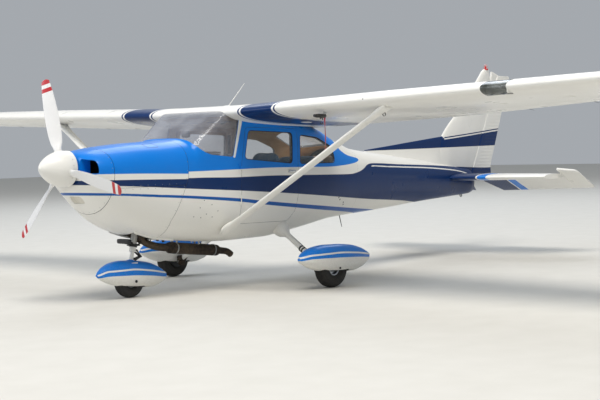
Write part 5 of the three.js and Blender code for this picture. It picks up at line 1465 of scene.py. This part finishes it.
makePiece("breather_pipes", [
    tube([(-120, 120, 720), (-110, 124, 600), (-96, 126, 520)], 9, 12),
    tube([(100, 60, 680), (104, 64, 560), (118, 70, 500)], 7, 12),
    softBox((-40, 20, 560), (60, 96, 640), 5), softBox((-330, -100, 560), (-290, 100, 610), 6)], blackPaint)
# outlet flange: a thin strip down both sides of the cowl's lower opening, hanging 17 mm under the skin
x = np.linspace(-345, 188, 40)
edge = hullAt(x, 1.5 * math.pi - np.arcsin(192 / hullRow(x)[2]))
flange = sheetOf(np.stack([edge + (0, 0, drop) for drop in (-17, -8, 4)], 1), 3)
makePiece("outlet_flanges", [flange, mirrored(flange)], whiteEnamel)
print("landing gear detailed")


# Evenly spaced points round a closed outline.
def resample(corners, count):
    ring = np.vstack([corners, corners[:1]])
    length = lengthAlong(ring)
    at = np.arange(count) / count * length[-1]
    return np.column_stack([np.interp(at, length, column) for column in ring.T])


# Station where the skin of the nose reaches a point (y, z), looked up on a fine grid of stations.
def noseFront(y, z):
    x = np.linspace(-999, -780, 440)[:, None]
    return x[np.argmax(hullSide(x, z[None, :]) >= np.abs(y)[None, :], 0), 0]


# cooling ducts: the inlet's outline, drawn in a little as it runs back
edgeZ = np.linspace(1296, 1441, 14)
edgeY = hullSide(np.full(14, hull["inletRear"] + 2.0), edgeZ)
mouth = resample(np.vstack([[(192, 1296)], np.column_stack([edgeY, edgeZ]), [(192, 1450)]]), 96)
middle, front = mouth.mean(0), noseFront(*mouth.T)
rings = [np.column_stack([front + depth, middle + (mouth - middle) * share])
         for depth, share in ((2, 1.0), (14, 0.99), (60, 0.97), (118, 0.93))]
duct = sheetOf(np.stack(rings), 3, closed=True)
makePiece("inlet_ducts", [duct, mirrored(duct)], blueEnamel)
filterPaper = grained("oiled_pleated_paper", "white_paint", "#d9d6cc", "#c4bfb0", 2, 0.4, 0.9)
filterEdge = offsetPolygon(hull["scoop"], -1)
hullPanel("air_filter", (40, sideLength[-1] - 2), (math.pi, turn), 8,
          lambda p: np.minimum(roundedDistance(p[..., 1], p[..., 2], filterEdge, 28), -700 - p[..., 0]),
          6, filterPaper, surface=lambda s, a: noseAt(s, a) + (5, 0, 3), span=330)

# engine: finned cylinders with rocker boxes and intake pipes on a case, four mount tubes, reduction gear
engine = dict(fins=16, pitch=10, bore=(48, 62), cylinders=(-655, -395), top=1330,
              case=((-735, -128, 1130), (-150, 128, 1425)))
top, (core, finRadius) = engine["top"], engine["bore"]
barrel = [(118, 0)]
for y in 120 + engine["pitch"] * np.arange(engine["fins"]):
    barrel += [(y, core), (y + 6, core), (y + 6.5, finRadius), (y + 9.5, finRadius)]
barrel += [(285, 40), (286, 0)]
parts, leads = [softBox(*engine["case"], 7, 28, 48)], []
for x in engine["cylinders"]:
    for sign in (-1, 1):
        parts.append(lathe([(sign * a, r) for a, r in barrel], (x, 0, top), (0, 1, 0), 28))
        parts.append(sideBox(sign, (x - 62, x + 62), (276, 320), (top - 52, top + 52), 5))
        parts.append(tube([(x + 30, sign * 262, top - 40), (x + 46, sign * 240, top - 120),
                           (x + 60, sign * 150, 1170), (x + 70, sign * 60, 1120)], 20, 14))
        leads.append(tube([(x - 20, sign * 250, top + 62), (x + 10, sign * 180, top + 112),
                           (-150, sign * 90, top + 105)], 4, 8))
parts += [tube([(-150, sign * 250, z), (0, sign * 262, z), (152, sign * 270, z)], 13, 12)
          for sign in (-1, 1) for z in (1080, 1380)]
parts.append(lathe([(0, 0), (0, 58), (60, 58), (62, 40), (150, 38), (150, 0)], (-735, 0, 1345), (-1, 0, 0), 28))
makePiece("engine_castings", parts, castIron, hides=["engine_block"])
makePiece("ignition_leads", leads, blackPaint)
# steel baffle wall behind the ducts, browned by heat
makePiece("baffle_wall", softBox((-752, -390, 1120), (-744, 390, 1468), 6, 24, 48), heatedSteel)
print("nose filled")


# cabin
cabin = dict(seatY=265, wall=44, panelX=620, fill=0.7)


# Woven wool-mix seat cloth, blue, threads about 1.2 mm drawn at 3 mm so that they show; the pile
# gives a soft edge.
def seatCloth():
    material, tree, shader = newMaterial("woven_blue_seat_cloth", "seat_fabric", Roughness=0.9, Sheen_Weight=0.35,
                                         Sheen_Roughness=0.5)
    place = addNode(tree, "TexCoord", out="Object")
    threads = {"Vector": place, "Scale": 52, "Distortion": 0.6, "Detail": 1}
    warp, weft = (addNode(tree, "TexWave", threads, bands_direction=way, out=1) for way in "YZ")
    weave = addNode(tree, "Math", (warp, weft), operation="MULTIPLY")
    worn = addNode(tree, "TexNoise", {"Vector": place, "Scale": 7, "Detail": 3})
    share = addNode(tree, "Math", (weave, worn), operation="MULTIPLY")
    mixed = addNode(tree, "Mix", {0: share, 6: colour("#0f4c74"), 7: colour("#2c86b0")}, data_type="RGBA", out=2)
    bump = addNode(tree, "Bump", {"Strength": 0.7, "Distance": 0.002, "Height": weave})
    wire(tree, shader, {"Base Color": mixed, "Normal": bump})
    return material


cloth = seatCloth()


# Pad: a rounded box crowned by (1 - u^2)(1 - v^2) on its broad face, with sewn channels pressed in
# by a bell curve.
def padShape(size, crown, channels, power=4.5):
    half = np.array(size) / 2
    points, faces = softBox(-half, half, power, 44, 72)
    u, v, w = (points / half).T
    bulge = crown * (1 - np.clip(u, -1, 1) ** 2) * (1 - np.clip(v, -1, 1) ** 2)
    groove = np.max([np.exp(-((v - at) * half[1] / 7) ** 2) for at in channels], 0)
    groove *= np.clip(1.05 - np.abs(u) ** 4, 0, 1)
    points[:, 2] += np.sign(w) * np.clip(np.abs(w) * 1.6, 0, 1) * (bulge - 7 * groove)
    points[:, 1] *= 1 - 0.025 * np.cos(np.clip(u, -1, 1) * math.pi / 2) * np.abs(v) ** 3
    return points, faces


# Puts a flat pad in place, its length leaning up from level by an angle.
def layPad(shape, centre, lean):
    x, y, z = shape[0].T
    return np.column_stack([centre[0] + x * math.cos(lean) - z * math.sin(lean), centre[1] + y,
                            centre[2] + x * math.sin(lean) + z * math.cos(lean)]), shape[1]


# Fills a pad by cloth simulation with air pressure, moves capped at a few mm, result kept in the mesh.
def puff(piece, cap=0.009, frames=9):
    rest = np.empty(len(piece.data.vertices) * 3)
    piece.data.vertices.foreach_get("co", rest)
    filler = piece.modifiers.new("filling", "CLOTH")
    filler.settings.use_pressure = True
    filler.settings.uniform_pressure_force = 4
    filler.settings.effector_weights.gravity = 0
    filler.settings.quality = 4
    filler.point_cache.frame_start, filler.point_cache.frame_end = 1, frames
    for step in range(1, frames + 1):
        bpy.context.scene.frame_set(step)
    shaped = piece.evaluated_get(bpy.context.evaluated_depsgraph_get()).data
    moved = np.empty(len(rest))
    shaped.vertices.foreach_get("co", moved)
    piece.modifiers.remove(filler)
    shift = (moved - rest).reshape(-1, 3)
    far = np.linalg.norm(shift, axis=1, keepdims=True)
    rest = rest.reshape(-1, 3) + shift * np.minimum(1, cap / np.maximum(far, 1e-9))
    piece.data.vertices.foreach_set("co", rest.ravel())
    piece.data.update()
    bpy.context.scene.frame_set(1)


def makePad(name, shape, hides=()):
    pad = makePiece(name, shape, cloth, hides=hides, sharp=80)
    puff(pad)


for side, sign in sides:
    y = sign * cabin["seatY"]
    makePad("seat_cushion_" + side, layPad(padShape((395, 418, 98), 14, (-0.36, 0.36)), (1288, y, 852), 0.03),
            ["front_seat_" + side])
    makePad("seat_back_" + side, layPad(padShape((552, 410, 84), 12, (-0.36, 0.36)), (1531, y, 1184), 1.405))
    makePiece("seat_pan_" + side, softBox((1098, y - 196, 789), (1500, y + 196, 812), 12), vinylTrim)
makePad("bench_cushion", layPad(padShape((350, 830, 150), 16, (-0.5, 0, 0.5)), (2150, 0, 778), 0.04), ["rear_bench"])
makePad("bench_back", layPad(padShape((520, 820, 76), 14, (-0.5, 0, 0.5)), (2392, 0, 1148), 1.44))
makePiece("bench_box", softBox((1985, -325, 690), (2320, 325, 752), 14), vinylTrim)

# instrument panel: crackle-painted plate under a shelf, round dials with plain ticks, two control wheels
z = np.linspace(1142, 1460, 18)
half = hullSide(np.full(18, 610.0), z, cabin["wall"])
corners = ((601, -1), (601, 1), (619, 1), (619, -1))
plate = np.stack([np.stack([np.full(18, x), s * half, z], -1) for x, s in corners], 1)
makePiece("panel_plate", capped(plate), panelPlastic, hides=["instrument_panel"])
x, y = np.linspace(322, 628, 24), np.linspace(-1, 1, 41)
edge = hullSide(x, np.full(24, 1462.0), cabin["wall"])
top = 1472 - 8 * np.abs(y)[None, :] ** 6 + 0 * x[:, None]
shelf = np.stack([np.broadcast_to(x[:, None], top.shape), edge[:, None] * y[None, :], top], -1)
makePiece("glare_shelf", sheetOf(shelf, 16), blackPaint)
dialFace = grained("black_enamel_dial", "panel_plastic", "#0c0d0e", "#151617", 1, 0.02, 0.4)
tickWhite = grained("white_screen_printed_ink", "white_paint", "#e8e8e2", "#dcdcd6", 1, 0.01, 0.5)
panelX, aft = cabin["panelX"], (1, 0, 0)
dials, marks, rims = [], [], []


# A mark on a dial: a thin tube along a ray at an angle, through the given radii.
def ray(centre, lift, angle, radii, thick):
    path = [np.array(centre) + (lift, r * math.cos(angle), r * math.sin(angle)) for r in radii]
    return tube(path, thick, 4)


for sideY in (-265, 60):
    for row in range(2):
        for column in range(3):
            centre = (panelX, sideY - 92 + column * 92, 1385 - row * 92)
            dials.append(lathe([(0, 0), (0, 38), (1.5, 38), (1.5, 0)], centre, aft, 32))
            rims.append(lathe([(0, 38), (0, 43), (6, 42), (6, 38), (0, 38)], centre, aft, 32))
            marks += [ray(centre, 2, k / 12 * turn, (30, 33, 36), 0.9) for k in range(12)]
            marks.append(ray(centre, 2.5, 0.9 + column + 2 * row, (-6, 10, 26), (1.6, 1.4, 0.5)))
makePiece("dial_faces", dials, dialFace)
makePiece("dial_rims", rims, blackPaint)
makePiece("dial_marks", marks, tickWhite)
radios = [softBox((612, 250, 1180 + 58 * k), (634, 420, 1230 + 58 * k), 12) for k in range(4)]
makePiece("radio_stack", radios, blackPaint)
knobs = [lathe([(0, 0), (0, 9), (16, 8), (18, 6), (18, 0)], (630, y, z), aft, 16)
         for y in (265, 405) for z in (1205, 1263, 1321, 1379)]
knobs += [lathe([(0, 0), (0, 5), (40, 5), (40, 14), (54, 14), (56, 10), (56, 0)], (panelX, y, 1168), aft, 18)
          for y in (-20, 40, 100)]
makePiece("panel_knobs", knobs, panelPlastic)
webbing = grained("black_polyester_webbing", "seat_fabric", "#2a2320", "#3a302a", 1.5, 0.3, 0.85, sheen=0.3)
# half width and height down one side of a control wheel
horn = [(128, 1396), (132, 1340), (118, 1296), (60, 1284)]
for side, sign in sides:
    y = sign * cabin["seatY"]
    path = [(770, y - out, z) for out, z in horn] + [(770, y, 1286)] + [(770, y + out, z) for out, z in horn[::-1]]
    makePiece("control_wheel_" + side, [
        tube(smoothLine(path, 60, even=False), 11, 14), tube([(612, y, 1290), (690, y, 1290), (770, y, 1288)], 12, 16),
        softBox((752, y - 38, 1266), (788, y + 38, 1306), 5)], blackPaint)
    harness = [(1745, sign * 486, 1668), (1742, sign * 488, 1500), (1738, sign * 492, 1300), (1736, sign * 494, 1120)]
    line = smoothLine(harness, 24, even=False)
    strap = np.stack([line + (s * 22, 0, 0) for s in np.linspace(-1, 1, 5)], 1)
    makePiece("harness_strap_" + side, sheetOf(strap, 2.2), webbing)
rails = joined([tube([(1236, -265 + s * 150, z) for z in (812, 700, 624)], 11, 12) for s in (-1, 1)])
for side, shape in (("port", rails), ("starboard", mirrored(rails))):
    makePiece("seat_rail_" + side, shape, steel)
for node, material in (("firewall", bareAlloy), ("cabin_floor", carpet), ("baggage_bulkhead", vinylTrim),
                       ("engine_block", castIron)):
    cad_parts[node].data.materials.clear()
    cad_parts[node].data.materials.append(material)
print("cabin made")


# fasteners and seams
# Points on one side of the hull with the outward direction there, found from two small steps.
def onSide(x, z, sign, step=4):
    x, z = (np.asarray(a, float) for a in np.broadcast_arrays(x, z))
    ahead, above = ((hullSide(x + dx, z + dz) - hullSide(x - dx, z - dz)) / (2 * step)
                    for dx, dz in ((step, 0), (0, step)))
    normal = np.stack([-ahead, np.full(x.shape, sign * 1.0), -above], -1)
    normal /= np.linalg.norm(normal, axis=-1, keepdims=True)
    return np.stack([x, sign * hullSide(x, z), z], -1), normal


# Points on a ring of the hull at angle a, with directions from the same small steps.
def onRing(x, angle):
    x, angle = np.broadcast_arrays(np.asarray(x, float), angle)
    normal = np.cross(hullAt(x + 4, angle) - hullAt(x - 4, angle), hullAt(x, angle + 0.01) - hullAt(x, angle - 0.01))
    normal /= np.linalg.norm(normal, axis=-1, keepdims=True)
    here = hullAt(x, angle)
    outward = np.sign(np.sum(normal[..., 1:] * (here[..., 1:] - (0, 1200)), -1))
    return here, normal * outward[..., None]


# Points along a line of (x, z) corners at about a pitch.
def evenly(corners, pitch):
    corners = np.array(corners, float)
    length = lengthAlong(corners)
    at = np.linspace(0, length[-1], max(2, int(length[-1] / pitch)))
    return [np.interp(at, length, column) for column in corners.T]


fasteners = dict(
    rivet=2.4, screw=4.2, height=0.7,
    screwLines=[([(-735, 1168), (-20, 1168)], 78), ([(-735, 1132), (-20, 1132)], 78),
                ([(158, 1560), (118, 1225), (-58, 790), (-78, 640)], 74)],
    rivetLines=[([(188, 1570), (152, 1225), (-20, 790), (-40, 640)], 42), ([(300, 700), (300, 1180)], 45),
                ([(520, 640), (520, 1280)], 45), ([(842, 720), (860, 1300)], 45), ([(1840, 760), (1835, 1270)], 45),
                ([(2300, 800), (2300, 1240)], 45), ([(2700, 800), (2700, 1240)], 45), ([(300, 720), (840, 690)], 45),
                ([(1840, 740), (2980, 790)], 48), ([(1840, 1040), (2980, 1040)], 60)],
    rings=(2975, 3025, 3600, 4200, 4800, 5300, 5700), stringers=(0.62, 2.52, 3.6, 5.82),
    bareSpots=[(235, 815), (300, 905), (330, 800), (350, 980), (395, 835), (455, 930), (480, 800), (520, 985),
               (545, 860)],
    staticPorts=[(2600, 905), (2632, 880), (2726, 842), (2741, 815)])
screws, rivets = ([onSide(*evenly(*row), sign) for sign in (-1, 1) for row in fasteners[key]]
                  for key in ("screwLines", "rivetLines"))
screws = [onRing(-788, np.arange(0.2, turn, 0.21))] + screws
for x in fasteners["rings"]:
    rivets.append(onRing(x, np.arange(0.1, turn, 42 / np.interp(x, stations[:, 0], stations[:, 3]))))
rivets += [onRing(np.arange(3060, 5650, 55.0), angle) for angle in fasteners["stringers"]]
for name, rows, radius, finish, fields in (("cowl_screws", screws, fasteners["screw"], steel, None),
                                           ("fuselage_rivets", rivets, fasteners["rivet"], skin, sidePaint)):
    points, normals = (np.concatenate([row[k].reshape(-1, 3) for row in rows]) for k in (0, 1))
    inside = [windowDistance(points, offsetPolygon(hull[key], 8), 0) for key in ("windshield", "door", "rearWindow")]
    clear = np.max(inside, 0) < 0
    makePiece(name, studs(points[clear], normals[clear], radius, fasteners["height"]), finish, fields=fields)
# screws low on the port side, dark where they have lost their paint, and the static ports further back
makePiece("bare_side_screws", studs(*onSide(*zip(*fasteners["bareSpots"]), -1), 6, 1.2, 8), gapShadeAndBareMetal)
makePiece("static_port_plates", studs(*onSide(*zip(*fasteners["staticPorts"]), -1), 11, 1.5, 10), blackPaint)


# Rivet rows of the wings, on the top and underside: along the ribs and along both spars.
def wingRivets(sign):
    ribs = [(np.full(30, y), np.linspace(0.06, 0.66, 30)) for y in np.arange(700, 5400, 386.0)]
    along = np.arange(620, 5400, 62.0)
    y, f = (np.concatenate(part) for part in zip(*ribs, *((along, np.full(len(along), f)) for f in (0.25, 0.6))))
    chord = wingRow(y)[2]
    points, normals = [], []
    for k, way in ((0, 1), (1, -1)):
        level = foilAt(f)[k]
        slope = (foilAt(f + 0.004)[k] - level) / 0.004
        points.append(wingPoint(sign * y, f * chord, level * chord))
        normals.append(np.stack([-slope * way, 0 * y, np.full(len(y), way * 1.0)], -1))
    points, normals = np.concatenate(points), np.concatenate(normals)
    return studs(points, normals / np.linalg.norm(normals, axis=1)[:, None], fasteners["rivet"], 0.6, 5)


# A point on the top or underside of the wing at a fraction of the chord.
def onWing(y, share, level):
    chord = wingRow(y)[2]
    return wingPoint(y, share * chord, foilAt(np.array(share))[level] * chord).reshape(3)


fittings = dict(covers=(980, 1750, 2750, 3500, 4250, 4950), wicks=(3300, 4100, 4900), tracks=(900, 2200),
                hinges=(960, 1300), hingeX=862, hingeY=558, leafY=555.5, lid=(-0.08, 0, -1))
for side, sign in sides:
    door = "door_" + side
    makePiece("wing_rivets_" + side, wingRivets(sign), whiteEnamel)
    # round inspection covers under the wing, held by two screws each
    spots = [onWing(sign * y, 0.47, 1) for y in fittings["covers"]]
    lid = [(-1, 0), (-1, 64), (1.6, 62), (2.4, 54), (2.4, 0)]
    makePiece("inspection_covers_" + side, [lathe(lid, spot, fittings["lid"], 32) for spot in spots], whiteEnamel)
    heads = np.array([spot + (0, k * 46, -2.2) for spot in spots for k in (-1, 1)])
    makePiece("cover_screws_" + side, studs(heads, np.tile(fittings["lid"], (len(heads), 1)), 4, 1.2), steel)
    # fuel cap: a flush round lid with a folding tab, on top of the tank
    spot = onWing(sign * 1900, 0.3, 0)
    makePiece("fuel_cap_" + side, [lathe([(-2, 0), (-2, 52), (4, 50), (7, 42), (7, 0)], spot, (0.03, 0, 1), 32),
                                   softBox(spot + (-30, -6, 6), spot + (30, 6, 14), 5)], bareAlloy)
    # tip light: a lens on a small white teardrop
    tip = np.array([800, sign * 5468, 2052.0])
    makePiece("tip_light_base_" + side, softBox(tip + (-30, -16, -16), tip + (95, 16, 16), 2.2), whiteEnamel)
    lens = softBox(tip + (-38, -14 + sign * 7, -14), tip + (12, 14 + sign * 7, 14), 2.2)
    makePiece("tip_light_lens_" + side, lens, redLens if sign < 0 else greenLens)
    # discharge wicks on the aileron's trailing edge
    roots = [wingPoint(sign * y, 0.992 * wingRow(y)[2], 0).reshape(3) for y in fittings["wicks"]]
    wicks = [tube([root + (-12, 0, 2), root + (30, 0, -2), root + (120, 0, -14)], (2.6, 2.0, 1.2), 8)
             for root in roots]
    makePiece("discharge_wicks_" + side, wicks, blackPaint, "aileron_" + side)
    # flap brackets: the fixed plates that the flap slides back from
    tracks = []
    for y in fittings["tracks"]:
        a, b = (wingPoint(sign * y, wing["flapAt"] * wing["rootChord"] + d, u).reshape(3)
                for d, u in ((-60, -30), (55, 0)))
        tracks.append(softBox(np.minimum(a, b) + (0, -3.2, -14), np.maximum(a, b) + (0, 3.2, 14), 6))
    makePiece("flap_tracks_" + side, tracks, bareAlloy)

    # door hinges: a pin and a leaf that ride on the door between two barrels and leaves on the post
    barrelAt, leafY = (fittings["hingeX"], sign * fittings["hingeY"]), sign * fittings["leafY"]
    pins, doorLeaves, barrels, postLeaves = [], [], [], []
    for z in fittings["hinges"]:
        pins.append(lathe([(-22, 0), (-22, 5), (22, 5), (22, 0)], (*barrelAt, z), (0, 0, 1), 16))
        doorLeaves.append(softBox((868, leafY - 2.5, z - 20), (894, leafY + 2.5, z + 20), 8, 12, 20))
        barrels += [lathe([(low, 0), (low, 5), (low + 27.5, 5), (low + 27.5, 0)], (*barrelAt, z), (0, 0, 1), 16)
                    for low in (-50, 22.5)]
        postLeaves += [softBox((834, leafY - 2.5, z + low), (857, leafY + 2.5, z + low + 24), 8, 12, 20)
                       for low in (-48, 24)]
    makePiece("door_hinge_pins_" + side, pins + doorLeaves, skin, door, fields=sidePaint)
    makePiece("post_hinge_leaves_" + side, barrels + postLeaves, skin, fields=sidePaint)
    # latch handle over a plate, and the lock
    spot = onSide(1676.0, 1240.0, sign)[0]
    lever = [spot + (x, sign * out, up) for x, out, up in ((-52, 5, 4), (-30, 15, 4), (10, 18, 2), (60, 15, 0))]
    plate = softBox(spot - (96, 3, 33), spot + (96, 3, 33), 9, 16, 32)
    makePiece("door_handle_plate_" + side, plate, whiteEnamel, door)
    makePiece("door_handle_" + side, tube(lever, (9, 9, 8, 7), 12, 1.5), chrome, door)
    lock = [(-2, 0), (-2, 12), (3, 12), (4, 8), (2, 7), (2, 0)]
    makePiece("door_lock_" + side, lathe(lock, onSide(1722.0, 1168.0, sign)[0], (0, sign, 0), 24), chrome, door)
    # inside the door: arm rest and latch lever
    makePiece("door_arm_rest_" + side, sideBox(sign, (1230, 1560), (466, 518), (1120, 1165), 5), vinylTrim, door)
    lever = tube([(1180, sign * 498, 1215), (1140, sign * 490, 1222), (1090, sign * 488, 1226)], (8, 7, 6), 10)
    hub = lathe([(0, 0), (0, 20), (10, 20), (12, 0)], (1180, sign * 512, 1215), (0, -sign, 0), 20)
    makePiece("door_inner_lever_" + side, [hub, lever], chrome, door)

# the seam of the oil filler door on the cowl, a dark line of painted shade in its gap, x against arc length at a mean
# radius of 560 mm
line = roundedPath([(-262, 1160), (-122, 1160), (-122, 1282), (-262, 1282)], 26, 8)
makePiece("oil_door_seam", tube(hullAt(line[:, 0], line[:, 1] / 560), 1.6, 6), gapShadeAndBareMetal)

# aerials: a tapering whip on the roof on its pad, a second pad behind it, and the belly rod
makePiece("roof_aerials", [
    tube([(1240, 0, 1960), (1386, 0, 2103), (1532, 0, 2246)], (5, 3.6, 2.2), 10),
    softBox((1205, -30, 1972), (1290, 30, 1992), 4), softBox((1655, -26, 1925), (1735, 26, 1946), 4)], whiteEnamel)
makePiece("belly_aerial", [
    tube([(3120, 0, 680), (3145, 0, 600), (3170, 0, 515)], (6, 5, 3.5), 10),
    lathe([(0, 0), (0, 20), (8, 17), (10, 8), (10, 0)], (3122, 0, 668), (0.1, 0, -1), 24)], blackPaint)
drains = ((420, 90, 545), (520, -120, 538), (1500, 60, 510), (2100, -40, 572))
makePiece("belly_drains", [lathe([(0, 0), (0, 9), (22, 7), (22, 0)], spot, (0.3, 0, -1), 16) for spot in drains],
          bareAlloy)
# tail: tie-down ring, white light at the foot of the rudder
makePiece("tail_tie_down", eyeRing((5720, 0, 790), (0, 1, 0), 9, 20, 5, 24), steel)
makePiece("tail_light", softBox((6452, -16, 985), (6492, 16, 1021), 2.3), whiteLens, "rudder")
# compass on the windshield strip, two sun visors, overhead vents
makePiece("compass", [softBox((560, -38, 1640), (640, 38, 1716), 4),
                      lathe([(0, 0), (0, 30), (6, 28), (6, 0)], (640, 0, 1680), (1, 0, 0), 24)], blackPaint)
visors = [softBox((800, s * 250 - 130, 1796), (920, s * 250 + 130, 1804), 10) for s in (-1, 1)]
makePiece("sun_visors", visors, blackPaint)
vent = [(0, 0), (0, 30), (10, 30), (14, 24), (6, 14), (6, 0)]
makePiece("root_air_vents", [lathe(vent, (742, s * 430, 1790), (0.3, 0, -1), 24) for s in (-1, 1)], blackPaint)

# pitot cover: a black sleeve on the tube, a loop and a red warning ribbon that hangs from it
sleeve = lathe([(-10, 0), (-12, 15), (30, 19), (150, 20), (158, 14), (158, 0)], (694, pitotY, 1814), (1, 0, 0), 24)
a = np.linspace(0, turn, 25)
loop = np.column_stack([790 + 34 * np.sin(a), pitotY + 12 * np.sin(a), 1764 + 34 * np.cos(a)])
makePiece("pitot_cover", [sleeve, tube(loop, 5, 8)], blackPaint)
# ribbon: 26 by 330 mm, swaying by 9 sin(5 s) and 7 sin(6 s) and twisted by 0.9 s + 0.25 sin(7 s)
s = np.linspace(0, 1, 34)[:, None]
w = np.linspace(-13, 13, 5)[None, :]
twist = 0.9 * s + 0.25 * np.sin(7 * s)
strip = np.stack([840 + w * np.cos(twist) + 9 * np.sin(5 * s), pitotY + w * np.sin(twist) + 7 * np.sin(6 * s),
                  1794 - 330 * s + 0 * w], -1)
ribbon = makePiece("warning_ribbon", sheetOf(strip, 1.2), ribbonCloth, sharp=80)
print("details made")


# stage, light
def stagePlane():
    mesh = bpy.data.meshes.new("floor")
    mesh.from_pydata([(-60, -60, 0), (60, -60, 0), (60, 60, 0), (-60, 60, 0)], [], [(0, 1, 2, 3)])
    floor = bpy.data.objects.new("floor", mesh)
    bpy.context.collection.objects.link(floor)
    # matt studio floor, painted board with a faint mottle of about 0.3 m
    material, tree, shader = newMaterial("pale_matt_floor", "white_paint", Roughness=0.85)
    place = addNode(tree, "TexCoord", out="Object")
    mottle = addNode(tree, "TexNoise", {"Vector": place, "Scale": 3.0, "Detail": 4})
    mixed = addNode(tree, "Mix", {0: mottle, 6: colour("#c9c7c0"), 7: colour("#d4d2cc")}, data_type="RGBA", out=2)
    wire(tree, shader, {"Base Color": mixed})
    mesh.materials.append(material)


stagePlane()


def areaLight(name, place, target, size, power, tint="#ffffff"):
    lamp = bpy.data.lights.new(name, "AREA")
    lamp.shape, lamp.size, lamp.energy = "DISK", size, power
    lamp.color = colour(tint)[:3]
    holder = bpy.data.objects.new(name, lamp)
    back = np.array(place, float) - np.array(target, float)
    back /= np.linalg.norm(back)
    side = np.cross([0, 0, 1], back)
    side /= np.linalg.norm(side)
    columns = np.column_stack([side, np.cross(back, side), back, place])
    holder.matrix_world = Matrix(np.vstack([columns, [0, 0, 0, 1]]).tolist())
    bpy.context.collection.objects.link(holder)


world = bpy.data.worlds.new("soft_sky")
world.use_nodes = True
wire(world.node_tree, world.node_tree.nodes["Background"], {"Color": colour("#e3e9f0"), "Strength": 0.6})
bpy.context.scene.world = world
areaLight("broad_key", (-11, -9, 27), (0, 0, 0), 16, 9000, "#fffaf2")
areaLight("broad_fill", (-22, 14, 12), (0, 0, 1), 14, 2600, "#f2f6ff")
areaLight("high_back", (15, 12, 19), (0, 0, 0), 18, 3200, "#eef5ff")  # seen as the sheen on the cowl and the tops
bpy.context.scene.view_settings.view_transform = "Standard"
bpy.context.scene.view_settings.exposure = -0.3
print("stage and light set")
